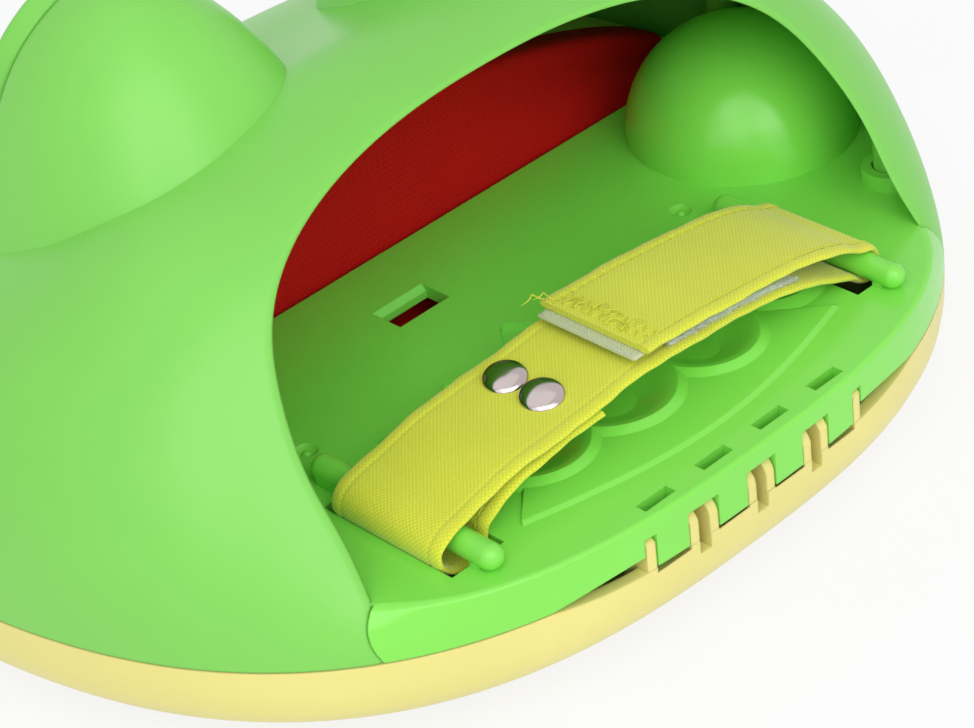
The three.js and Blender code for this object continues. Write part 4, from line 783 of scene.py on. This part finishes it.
def centripetal(points, steps):
    """Smooth line through unevenly spaced points, without loops or overshoot."""
    points = np.asarray(points, float)
    ends = [2 * points[0] - points[1], *points, 2 * points[-1] - points[-2]]
    out = []
    for i in range(len(points) - 1):
        p = ends[i:i + 4]
        dt = [max(np.linalg.norm(p[k + 1] - p[k]) ** 0.5, 1e-6) for k in range(3)]
        way = [((p[k + 1] - p[k]) / dt[k] - (p[k + 2] - p[k]) / (dt[k] + dt[k + 1])
                + (p[k + 2] - p[k + 1]) / dt[k + 1]) * dt[1] for k in range(2)]
        out += [hermite(p[1], p[2], *way, t) for t in np.linspace(0, 1, steps, endpoint=False)]
    return np.array(out + [points[-1]])


def fabric_line(x):
    held, edge = PALATE_REAR_Y - FABRIC_HELD, DECK_FRONT_Y - 2
    rim = palate_underside(x, PALATE_REAR_Y)
    floor = RIDGE_TOP_Z + GAP + 0.5
    pocket_y, pocket_z = -14.0, -14.5
    return centripetal([
        (x, held, palate_underside(x, held)), (x, PALATE_REAR_Y + GAP, rim),
        (x, (PALATE_REAR_Y + edge) / 2, rim * 0.45), (x, edge, -DECK),
        (x, (edge + pocket_y) / 2, pocket_z * 0.62), (x, pocket_y, pocket_z),
        (x, (RIDGE_Y + pocket_y) / 2, (pocket_z + floor) / 2),
        (x, RIDGE_Y + RIDGE_WIDTH / 2, floor), (x, RIDGE_Y - GAP, floor)], 12)


def hem_line(x):
    """Outer layer of the cloth: over the palate's rim and down behind the main layer."""
    rim, edge = PALATE_REAR_Y, DECK_FRONT_Y - 2
    top, main = palate_z(x, rim, 0), palate_underside(x, rim)
    return centripetal([
        (x, rim - HEM_REACH, palate_z(x, rim - HEM_REACH, 0) + 0.6), (x, rim - 0.4, top + 0.6),
        (x, rim + 0.9, top - 0.5), (x, rim + 1.5, main - 0.6),
        (x, (rim + edge) / 2 + 1.1, main * 0.45 + 0.3), (x, edge + 1.0, -DECK - 0.2)], 10)


def make_hem(look):
    xs = np.linspace(HEM_HALF_WIDTH, -HEM_HALF_WIDTH, 130)
    grid = np.array([hem_line(x) for x in xs])
    obj, length = cloth_piece("mouth_cloth_hem", grid, 0.0, 0.3, look)


def shut(top, low):
    """Closed thin solid between two grids of points."""
    rows, cols = top.shape[:2]
    half, last = rows * cols, (rows - 1) * cols
    border = [*range(cols), *range(2 * cols - 1, half, cols),
              *range(half - 2, last - 1, -1), *range(last - cols, 0, -cols)]
    faces = grid_faces(rows, cols) + grid_faces(rows, cols, start=half, flip=True)
    faces += [[b, a, half + a, half + b] for a, b in zip(border, border[1:] + border[:1])]
    return np.concatenate([top.reshape(-1, 3), low.reshape(-1, 3)]), faces


def cloth_piece(name, grid, lift, half_thickness, look, nodes=(), rides=True):
    """Sheet along a grid of points, moved along its normals by lift, and its mean length."""
    along = np.gradient(grid, axis=1)
    normal = np.stack([np.zeros(along.shape[:2]), -along[..., 2], along[..., 1]], -1)
    normal /= np.linalg.norm(normal, axis=2, keepdims=True)
    middle = grid + normal * np.asarray(lift)[..., None]
    solid = shut(middle - normal * half_thickness, middle + normal * half_thickness)
    obj = piece(name, solid, "head", look, nodes, rides=rides)
    lengths = np.linalg.norm(np.diff(grid, axis=1), axis=2).sum(1)
    run = np.linspace(0, 1, grid.shape[1])[None] * lengths[:, None]
    add_uv(obj, np.stack([grid[..., 0], run], -1).reshape(-1, 2))
    return obj, float(lengths.mean())


def make_fabric(look):
    xs = np.linspace(FABRIC_HALF_WIDTH, -FABRIC_HALF_WIDTH, 140)
    grid = np.array([fabric_line(x) for x in xs])
    x, run = grid[..., 0], np.linspace(0, 1, grid.shape[1])[None]
    slack = np.sin(pi * np.clip((run - 0.14) / 0.72, 0, 1))
    wrinkle = 0.16 * np.sin(x * 0.21 + 3 * run) + 0.1 * np.sin(x * 0.43 + 9 * run + 1.3)
    obj, length = cloth_piece("mouth_cloth", grid, slack * wrinkle, 0.35, look,
                              ["mouth_fabric"], rides=False)
    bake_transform(obj)


def add_uv(obj, per_point):
    """UV map in millimetres of cloth, the same on both sides of the sheet."""
    layer = obj.data.uv_layers.new(name="weave")
    index = np.zeros(len(obj.data.loops), np.int32)
    obj.data.loops.foreach_get("vertex_index", index)
    both = np.concatenate([per_point, per_point])
    layer.data.foreach_set("uv", both.astype(np.float32)[index].ravel())


# Strap

UNDER = [(.34, .74), (.56, .68), (.76, .55), (.9, .25)]
OVER_LINE = [(.93, .6), (.76, .78), (.56, .85), (.34, .91), (.1, 1), (-.22, .9), (-.45, .79),
             (-.66, .6), (-.86, .24)]
FLAP = [(-.9, .54), (-.76, .69), (-.58, .8), (-.4, .87), (-.2, .94), (0, .985)]
WRAP = BAR_RADIUS + GAP + STRAP_THICKNESS / 2
LOOSE_ENDS = [(-1, -12.5, 4.6, -1.8, 1.4), (-2, -10.5, 3, -3.5, 1.2), (-3, 4, -3, 3, 0.8)]
LOOSE_CURLS = [(-2.6, -9.5, 6.5, 2.5), (-4.4, -4.0, 6.0, 2.0), (-2.2, 1.0, 5.5, 1.5)]
LOOP_OUT, LOOP_HIGH, LOOP_LOW = 6.2, 3.8, 5.4


def side_curve(shares, rise):
    return smooth_line([(a * BAR_X, u * rise) for a, u in shares], 10)


def wrap_arc(side, start, end, steps=24, out=WRAP, high=WRAP, low=WRAP):
    a = np.radians(np.linspace(start, end, steps))
    rise = np.where(np.sin(a) < 0, low, high) * np.sin(a)
    return list(zip(side * BAR_X + out * np.cos(a), BAR_Z + rise))


def even_line(points, step):
    points = np.array(points, float)
    run = np.concatenate([[0], np.cumsum(np.linalg.norm(np.diff(points, axis=0), axis=1))])
    count = max(int(round(run[-1] / step)), 4)
    at = np.linspace(0, run[-1], count + 1)
    line = np.column_stack([np.interp(at, run, points[:, k]) for k in range(2)])
    for _ in range(6):
        line[1:-1] = (line[:-2] + 2 * line[1:-1] + line[2:]) / 4
    return line, at


def webbing(line, at, width, thickness, seed, hems=True, wave=0.35):
    """Strip of cloth along a side line: folded hems, sewn grooves and slightly wavy edges."""
    local = np.random.default_rng(seed)
    way = np.gradient(line, axis=0)
    way /= np.linalg.norm(way, axis=1, keepdims=True)
    up = np.column_stack([-way[:, 1], way[:, 0]])
    cross = np.concatenate([np.linspace(-1, -0.72, 12), np.linspace(-0.72, 0.72, 30)[1:-1],
                            np.linspace(0.72, 1, 12)])
    edge = np.zeros((2, len(at)))
    for k in range(2):
        for scale, size in ((31, 0.5), (13, 0.3), (6, 0.2)):
            edge[k] += wave * size * np.sin(at * 2 * pi / scale + local.uniform(0, 6.28))
    rows_top, rows_low = [], []
    for i, (p, n) in enumerate(zip(line, up)):
        y = cross * width / 2
        y = y + np.where(cross < 0, edge[0, i] * (-cross) ** 6, edge[1, i] * cross ** 6)
        rim = (1 - np.abs(cross) ** 14) ** 0.5
        groove = np.exp(-((np.abs(cross) - STITCH_AT) / 0.022) ** 2) if hems else 0
        hem = 0.22 * (1 / (1 + np.exp(-(np.abs(cross) - STITCH_AT) / 0.02))) if hems else 0
        pucker = 0.06 * np.sin(at[i] * 2 * pi / STITCH_PITCH + cross * 3)
        half = thickness / 2 * (0.12 + 0.88 * rim)
        lift = half + (hem - 0.28 * groove) * rim
        if hems:
            lift += pucker * np.exp(-((np.abs(cross) - STITCH_AT) / 0.08) ** 2)
        low = half + (0.5 * hem - 0.2 * groove) * rim
        x, z = p
        rows_top.append(np.column_stack([x + n[0] * lift, STRAP_Y + y, z + n[1] * lift]))
        rows_low.append(np.column_stack([x - n[0] * low, STRAP_Y + y, z - n[1] * low]))
    uv = np.stack(np.broadcast_arrays(at[:, None], cross[None] * width / 2), -1).reshape(-1, 2)
    return shut(np.array(rows_top), np.array(rows_low)), uv, (line, up, at)


def tube(points, radius, steps=6):
    """Thin round thread along points, with pointed ends."""
    points = np.asarray(points, float)
    way = np.gradient(points, axis=0)
    way /= np.linalg.norm(way, axis=1, keepdims=True) + 1e-12
    a = np.cross(way, (0.31, 0.2, 0.93))
    a /= np.linalg.norm(a, axis=1, keepdims=True) + 1e-12
    b = np.cross(way, a)
    angle = np.linspace(0, 2 * pi, steps, endpoint=False)
    share = np.linspace(0, 1, len(points))
    size = radius * np.clip(np.minimum(share, 1 - share) * 6 + 0.25, 0, 1)
    rings = points[:, None] + size[:, None, None] * (
        a[:, None] * np.cos(angle)[None, :, None] + b[:, None] * np.sin(angle)[None, :, None])
    return loft(rings)


def joined(solids):
    points, faces, start = [], [], 0
    for p, f in solids:
        points.append(p)
        faces += [[v + start for v in face] for face in f]
        start += len(p)
    return np.concatenate(points), faces


def stitches(spine, first, last):
    """Sewn thread along both hems of a strap: one short raised stitch after another."""
    line, up, at = spine
    out = []
    for share in (-STITCH_AT, STITCH_AT):
        for s in np.arange(first, last, STITCH_PITCH):
            t = np.linspace(s + 0.25, s + STITCH_PITCH - 0.25, 7)
            x, z = (np.interp(t, at, line[:, k]) for k in range(2))
            nx, nz = (np.interp(t, at, up[:, k]) for k in range(2))
            rise = STRAP_THICKNESS / 2 - 0.05 + 0.16 * np.sin(np.linspace(0, pi, 7))
            y = np.full(7, STRAP_Y + share * STRAP_WIDTH / 2)
            out.append(tube(np.column_stack([x + nx * rise, y, z + nz * rise]), THREAD_RADIUS))
    return out


# Materials

CLOTH_ROUGH, CLOTH_DEPTH = 0.8, 0.00012


def feed(tree, node, inputs):
    """Set a node's inputs, named or numbered, to constants, or link them to outputs."""
    for key, value in inputs.items():
        if isinstance(value, bpy.types.NodeSocket):
            tree.links.new(value, node.inputs[key])
        else:
            node.inputs[key].default_value = value


def added(tree, kind, inputs):
    """First output of a new shader node."""
    node = tree.nodes.new("ShaderNode" + kind)
    feed(tree, node, inputs)
    return node.outputs[0]


def nodes_of(name):
    mat = bpy.data.materials.new(name)
    mat.use_nodes = True
    tree = mat.node_tree
    tree.nodes.clear()
    out = tree.nodes.new("ShaderNodeOutputMaterial")
    shader = tree.nodes.new("ShaderNodeBsdfPrincipled")
    tree.links.new(shader.outputs[0], out.inputs[0])
    return mat, tree, shader


def noise(tree, scale, detail=3):
    where = tree.nodes.new("ShaderNodeTexCoord").outputs["Object"]
    return added(tree, "TexNoise", {"Scale": scale, "Detail": detail, "Vector": where})


def ramp(tree, value, low, high):
    out = added(tree, "ValToRGB", {"Fac": value})
    for stop, position, colour in zip(out.node.color_ramp.elements, (0.3, 0.7), (low, high)):
        stop.position, stop.color = position, (*colour, 1)
    return out


def spread(tree, value, low, high):
    return added(tree, "MapRange", {"Value": value, "To Min": low, "To Max": high})


def scaled(colour, factor):
    return tuple(min(c * factor, 1.0) for c in colour)


def plastic(name, colour, rough, bump=0.02, edge=0.0006, vary=0.035):
    mat, tree, shader = nodes_of(name)
    fine = {"Strength": bump, "Distance": 0.0004, "Height": noise(tree, 420, 2)}
    if edge:
        fine["Normal"] = added(tree, "Bevel", {"Radius": edge})
        fine["Normal"].node.samples = 4
    feed(tree, shader, {
        "Base Color": ramp(tree, noise(tree, 26), scaled(colour, 1 - vary),
                           scaled(colour, 1 + vary)),
        "Roughness": spread(tree, noise(tree, 90, 4), rough - 0.03, rough + 0.04),
        "Normal": added(tree, "Bump", fine), "IOR": 1.48})
    return mat


def uv_wave(tree, scale, along):
    uv = tree.nodes.new("ShaderNodeUVMap")
    uv.uv_map = "weave"
    dot = tree.nodes.new("ShaderNodeVectorMath")
    dot.operation = "DOT_PRODUCT"
    feed(tree, dot, {0: uv.outputs[0], 1: (along[0] * scale, along[1] * scale, 0)})
    return math_node(tree, "SINE", dot.outputs["Value"])


def math_node(tree, operation, *values):
    node = tree.nodes.new("ShaderNodeMath")
    node.operation = operation
    feed(tree, node, dict(enumerate(values)))
    return node.outputs[0]


def cloth(name, colour, painted_gap_shade, pitch, ribbed, sheen=0.3, gloss=0.5):
    """Cloth from the piece's own UV map, in millimetres: plain weave or fine ribs, with painted
    shade in the low parts of the weave.
    """
    mat, tree, shader = nodes_of(name)
    k = 2 * pi / pitch
    if ribbed:
        cross = math_node(tree, "MULTIPLY", uv_wave(tree, k * 0.8, (-0.12, 0.99)), 0.25)
        height = math_node(tree, "ADD", uv_wave(tree, k, (0.99, 0.12)), cross)
    else:
        height = math_node(tree, "MULTIPLY", uv_wave(tree, k, (1, 0)), uv_wave(tree, k, (0, 1)))
    level = spread(tree, height, 0.0, 1.0)
    feed(tree, level.node, {"From Min": -1.3, "From Max": 1.3})
    mixed = tree.nodes.new("ShaderNodeMix")
    mixed.data_type = "RGBA"
    raised = ramp(tree, noise(tree, 55), scaled(colour, 0.93), scaled(colour, 1.05))
    # Low parts of the weave take the darker colour: painted shade between the threads.
    feed(tree, mixed, {"Factor": level, "A": (*painted_gap_shade, 1), "B": raised})
    feed(tree, shader, {
        "Base Color": mixed.outputs["Result"],
        "Roughness": spread(tree, noise(tree, 300), CLOTH_ROUGH - 0.06, CLOTH_ROUGH + 0.06),
        "Normal": added(tree, "Bump", {"Strength": 0.55, "Distance": CLOTH_DEPTH, "Height": level}),
        "Sheen Weight": sheen, "Sheen Roughness": 0.5, "Specular IOR Level": gloss})
    return mat


def metal(name, colour, rough):
    mat, tree, shader = nodes_of(name)
    feed(tree, shader, {
        "Base Color": ramp(tree, noise(tree, 160), scaled(colour, 0.93), colour),
        "Roughness": spread(tree, noise(tree, 240, 4), rough * 0.7, rough * 1.5),
        "Metallic": 1.0})
    return mat


SHELL = plastic("shell_plastic", (0.215, 0.640, 0.092), 0.33)
# The deck is the same green plastic as the shell, with a brighter colour: partly its own colour,
# partly painted light for the light the shell lets through and bounces onto the deck inside the
# head.
DECK_PAINTED_LIGHT_LOOK = plastic("deck_plastic_painted_light", (0.235, 0.770, 0.085), 0.21, edge=0.0003)
JAW_LOOK = plastic("jaw_plastic", (0.83, 0.735, 0.235), 0.34)
EYE_LOOK = plastic("eye_plastic", (0.88, 0.88, 0.80), 0.12, bump=0.005)
PUPIL_LOOK = plastic("pupil_plastic", (0.012, 0.012, 0.013), 0.12, bump=0.005)
# The second colour of the strap cloth is painted shade for the low parts of its weave.
STRAP_LOOK = cloth("strap_cloth", (0.84, 0.87, 0.055), (0.58, 0.60, 0.020), 0.9, False)
THREAD_LOOK = plastic("thread_look", (0.66, 0.69, 0.06), 0.7, bump=0.2, edge=0)
# The second colour of the mouth cloth is painted shade for the grooves between its ribs.
FABRIC_LOOK = cloth("mouth_cloth_look", (0.70, 0.006, 0.003), (0.42, 0.002, 0.001), 0.55, True,
                    sheen=0, gloss=0.2)
PILE_LOOK = plastic("pile_look", (0.66, 0.70, 0.64), 0.9, bump=0.6, edge=0, vary=0.15)
HOOK_LOOK = plastic("hook_look", (0.62, 0.66, 0.44), 0.5, bump=0.3, edge=0)
CHROME = metal("rivet_metal", (0.62, 0.54, 0.53), 0.12)
STEEL = metal("screw_metal", (0.55, 0.55, 0.56), 0.3)


def make_strap():
    base_line = [*side_curve(UNDER, BAR_Z + STRAP_RISE),
                 *wrap_arc(1, 215, 440, 36, LOOP_OUT, LOOP_HIGH, LOOP_LOW),
                 *side_curve(OVER_LINE, BAR_Z + STRAP_RISE), *wrap_arc(-1, -20, -95)]
    flap_points = [*wrap_arc(-1, 180, 75),
                   *side_curve([*FLAP, (FLAP_END_X / BAR_X, 1)], BAR_Z + FLAP_RISE)]
    line, at = even_line(base_line, 0.7)
    fline, fat = even_line(flap_points, 0.7)
    spines = []
    for name, node, body, way, run, seed in (
            ("strap_band", "strap_base", "head", line, at, 3),
            ("strap_top_flap", "strap_flap", "flap", fline, fat, 8)):
        solid, uv, spine = webbing(way, run, STRAP_WIDTH, STRAP_THICKNESS, seed)
        add_uv(piece(name, solid, body, STRAP_LOOK, [node], angle=60), uv)
        spines.append(spine)
    sewn = joined(stitches(spines[0], 2, at[-1] - 2))
    piece("strap_band_stitches", sewn, "head", THREAD_LOOK, angle=70)
    threads = stitches(spines[1], 2, fat[-1] - 1)
    end = fline[-1]
    for x0 in (-4.6, -2.4):
        ys = np.linspace(-11.5, 11.5, 60)
        zig = x0 + 0.9 * (2 * np.abs((ys / 2.2) % 1 - 0.5) * 2 - 1)
        z = np.interp(end[0] + zig, fline[:, 0], fline[:, 1]) + STRAP_THICKNESS / 2 + 0.12
        threads.append(tube(np.column_stack([end[0] + zig, STRAP_Y + ys, z]), THREAD_RADIUS))
    t = np.linspace(0, 1, 14)
    for px, py, dx, dy, lift in LOOSE_ENDS:
        x = end[0] + px + dx * t + 0.6 * np.sin(t * 7)
        y = STRAP_Y + py + dy * t + 0.5 * np.sin(t * 9)
        z = end[1] + 0.7 + lift * np.sin(t * pi * 0.9)
        threads.append(tube(np.column_stack([x, y, z]), 0.13))
    t = np.linspace(0, 1, 40)
    for px, py, reach, turns in LOOSE_CURLS:
        x = end[0] + px + 1.1 * np.sin(t * turns * 2 * pi)
        y = STRAP_Y + py + reach * t + 0.8 * np.cos(t * turns * 2 * pi)
        z = end[1] + 0.75 + 0.45 * np.sin(t * pi) + 0.2 * np.cos(t * 17)
        threads.append(tube(np.column_stack([x, y, z]), 0.15))
    piece("strap_flap_stitches", joined(threads), "flap", THREAD_LOOK, angle=70)
    return line, fline


def strip(line, thickness, seed):
    return webbing(*even_line(line, 0.6), TAPE_WIDTH, thickness, seed, hems=False, wave=0.25)[0]


def make_tapes(line, fline):
    side = TAPE_WIDTH / 2
    over = line[(line[:, 1] > BAR_Z) & (line[:, 0] < 0) & (line[:, 0] > -0.66 * BAR_X)]
    over = over[np.argsort(-over[:, 0])]
    over = over + (0, (STRAP_THICKNESS + PILE_THICKNESS) / 2 + 0.25)
    fibres = [strip(over, PILE_THICKNESS, 5)]
    for _ in range(PILE_FIBRES):
        k = rng.integers(0, len(over))
        edge = rng.random() < 0.75
        if not edge:
            y = rng.uniform(-side, side)
        elif rng.random() < 0.8:
            y = side - rng.random() * 0.4
        else:
            y = -side + rng.random() * 0.4
        base = np.array((over[k, 0] + rng.uniform(-.4, .4), STRAP_Y + y,
                         over[k, 1] + rng.uniform(-0.3, 0.4)))
        tip = base + np.array((rng.normal(0, 0.5), np.sign(y) * rng.uniform(0.2, 0.9),
                               rng.uniform(-0.2, 0.5)))
        bow = (base + tip) / 2 + rng.normal(0, 0.25, 3)
        fibres.append(tube([base, bow, tip], 0.05, 3))
    piece("loop_strip", joined(fibres), "head", PILE_LOOK, ["loop_pile"], angle=60)
    under = fline[(fline[:, 1] > BAR_Z) & (fline[:, 0] > -0.3 * BAR_X)]
    under = np.vstack([under, under[-1] + (FLAP_END_X * 0.4, 0)])
    under = under - (0, (STRAP_THICKNESS + HOOK_THICKNESS) / 2 + 0.15)
    hooks = [strip(under, HOOK_THICKNESS, 6)]
    tail = under[-1]
    for x in np.arange(tail[0] - 2.6, tail[0] - 0.2, HOOK_PITCH):
        for y in np.arange(-11.4, 11.5, HOOK_PITCH):
            bent = np.array([(0, 0, 0.2), (0.1, 0, 0.62), (0.35, 0.1, 0.7)])
            hooks.append(tube(bent + (x, STRAP_Y + y, tail[1]), 0.11, 4))
    piece("hook_strip", joined(hooks), "flap", HOOK_LOOK, ["hook_tape"], angle=60)


def make_rivets():
    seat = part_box("strap_rivet_1")[1][2] / MM - SHIFT[2] - 1.5
    back_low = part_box("rivet_back_1")[0][2] / MM - SHIFT[2]
    for i, y in enumerate(RIVET_YS, 1):
        profile = [(0, -1.0), (RIVET_RADIUS - 0.4, -1.0), (RIVET_RADIUS, -0.6), (RIVET_RADIUS, 0.1)]
        for a in np.linspace(0.08, pi / 2, 24):
            profile.append((RIVET_RADIUS * cos(a) ** 0.7, 0.1 + CAP_RISE * sin(a)))
        profile[-1] = (0, 0.1 + CAP_RISE)
        tilt = Matrix.Rotation(radians(CAP_TILT), 3, Vector((-0.6, 0.8, 0)))
        cap = moved(revolve(profile, 96), np.array(tilt), (RIVET_X, y, seat))
        shank = upright(RIVET_X, y, back_low + 0.9, seat, 1.4)
        piece(f"rivet_cap_{i}", joined([cap, shank]), "head", CHROME,
              [f"strap_rivet_{i}"])
        back = [(0, back_low), (3.1, back_low), (3.4, back_low + 0.3), (3.4, back_low + 0.6),
                (3.1, back_low + 0.8), (0, back_low + 0.8)]
        piece(f"rivet_disc_{i}", moved(revolve(back, 64), None, (RIVET_X, y, 0)), "head", CHROME,
              [f"rivet_back_{i}"])


make_shell(SHELL)
make_eyes(SHELL, EYE_LOOK, PUPIL_LOOK)
make_deck(DECK_PAINTED_LIGHT_LOOK)
make_jaw(JAW_LOOK)
make_palate(JAW_LOOK)
make_fabric(FABRIC_LOOK)
make_hem(FABRIC_LOOK)
make_tapes(*make_strap())
make_rivets()
for node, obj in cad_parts.items():
    if "screw" in node:
        paint(obj, STEEL)
    if node == "lower_clamp":
        paint(obj, JAW_LOOK)


# Camera, floor and light

LENS, CAMERA_AT = 114.01, (319.06, 387.61, 349.70)
CAMERA_AXES = [(-0.70361, 0.70338, -0.10092), (-0.45664, -0.33876, 0.82263),
               (0.54444, 0.62489, 0.55955)]
FLOOR_HALF, FLOOR_Z, FLOOR_GLOW = 6.0, -0.0005, 0.82


def make_camera():
    cam = bpy.data.cameras.new("camera")
    cam.lens, cam.sensor_width = LENS, 36.0
    cam.clip_start, cam.clip_end = 0.01, 20
    obj = linked("camera", cam)
    turn = Matrix(CAMERA_AXES).transposed().to_4x4()
    obj.matrix_world = Matrix.Translation(Vector(CAMERA_AT) * MM) @ turn
    bpy.context.scene.camera = obj


def seen_rays(tree):
    """1 for the rays that show the white backdrop, 0 for the rays that only light the toy."""
    path = tree.nodes.new("ShaderNodeLightPath").outputs
    mirrored = math_node(tree, "MAXIMUM", path["Is Glossy Ray"], path["Is Transmission Ray"])
    return math_node(tree, "MAXIMUM", path["Is Camera Ray"], mirrored)


def make_floor():
    data = bpy.data.meshes.new("floor")
    corners = [(x * FLOOR_HALF, y * FLOOR_HALF, 0) for x, y in ((-1, -1), (1, -1), (1, 1), (-1, 1))]
    data.from_pydata(corners, [], [(0, 1, 2, 3)])
    floor = linked("floor", data)
    floor.location.z = FLOOR_Z
    mat, tree, shader = nodes_of("floor_paper")
    paper = ramp(tree, noise(tree, 30), (0.86, 0.86, 0.86), (0.9, 0.9, 0.9))
    feed(tree, shader, {"Base Color": paper, "Roughness": 0.9})
    mix = added(tree, "MixShader", {0: math_node(tree, "MULTIPLY", seen_rays(tree), FLOOR_GLOW),
                                    1: shader.outputs[0], 2: added(tree, "Emission", {})})
    feed(tree, tree.nodes["Material Output"], {0: mix})
    data.materials.append(mat)


def softbox(name, azimuth, elevation, distance, size, power):
    lamp = bpy.data.lights.new(name, "AREA")
    lamp.shape, lamp.size, lamp.size_y, lamp.energy = "RECTANGLE", size[0], size[1], power
    obj = linked(name, lamp)
    a, e = radians(azimuth), radians(elevation)
    back = Vector((sin(a) * cos(e), -cos(a) * cos(e), sin(e)))
    obj.location = Vector((0, 0, 0.05)) + back * distance
    obj.rotation_mode = "QUATERNION"
    obj.rotation_quaternion = back.to_track_quat("Z", "Y")


def make_world():
    world = bpy.data.worlds.new("studio")
    bpy.context.scene.world = world
    world.use_nodes = True
    tree = world.node_tree
    tree.nodes.clear()
    soft = added(tree, "Background", {"Color": (0.93, 0.97, 1.0, 1), "Strength": 0.6})
    white = added(tree, "Background", {"Strength": 1.0})
    mix = added(tree, "MixShader", {0: seen_rays(tree), 1: soft, 2: white})
    feed(tree, tree.nodes.new("ShaderNodeOutputWorld"), {0: mix})


make_camera()
make_floor()
make_world()
softbox("softbox_left", 113, 30, 1.3, (0.95, 0.95), 1.6)
softbox("softbox_right", 177, 24, 1.3, (0.95, 0.8), 2.4)
softbox("softbox_front", 148, 42, 1.4, (1.5, 1.2), 8.5)
softbox("softbox_top", 30, 75, 1.5, (1.6, 1.6), 2)
bpy.context.scene.view_settings.view_transform = "Standard"
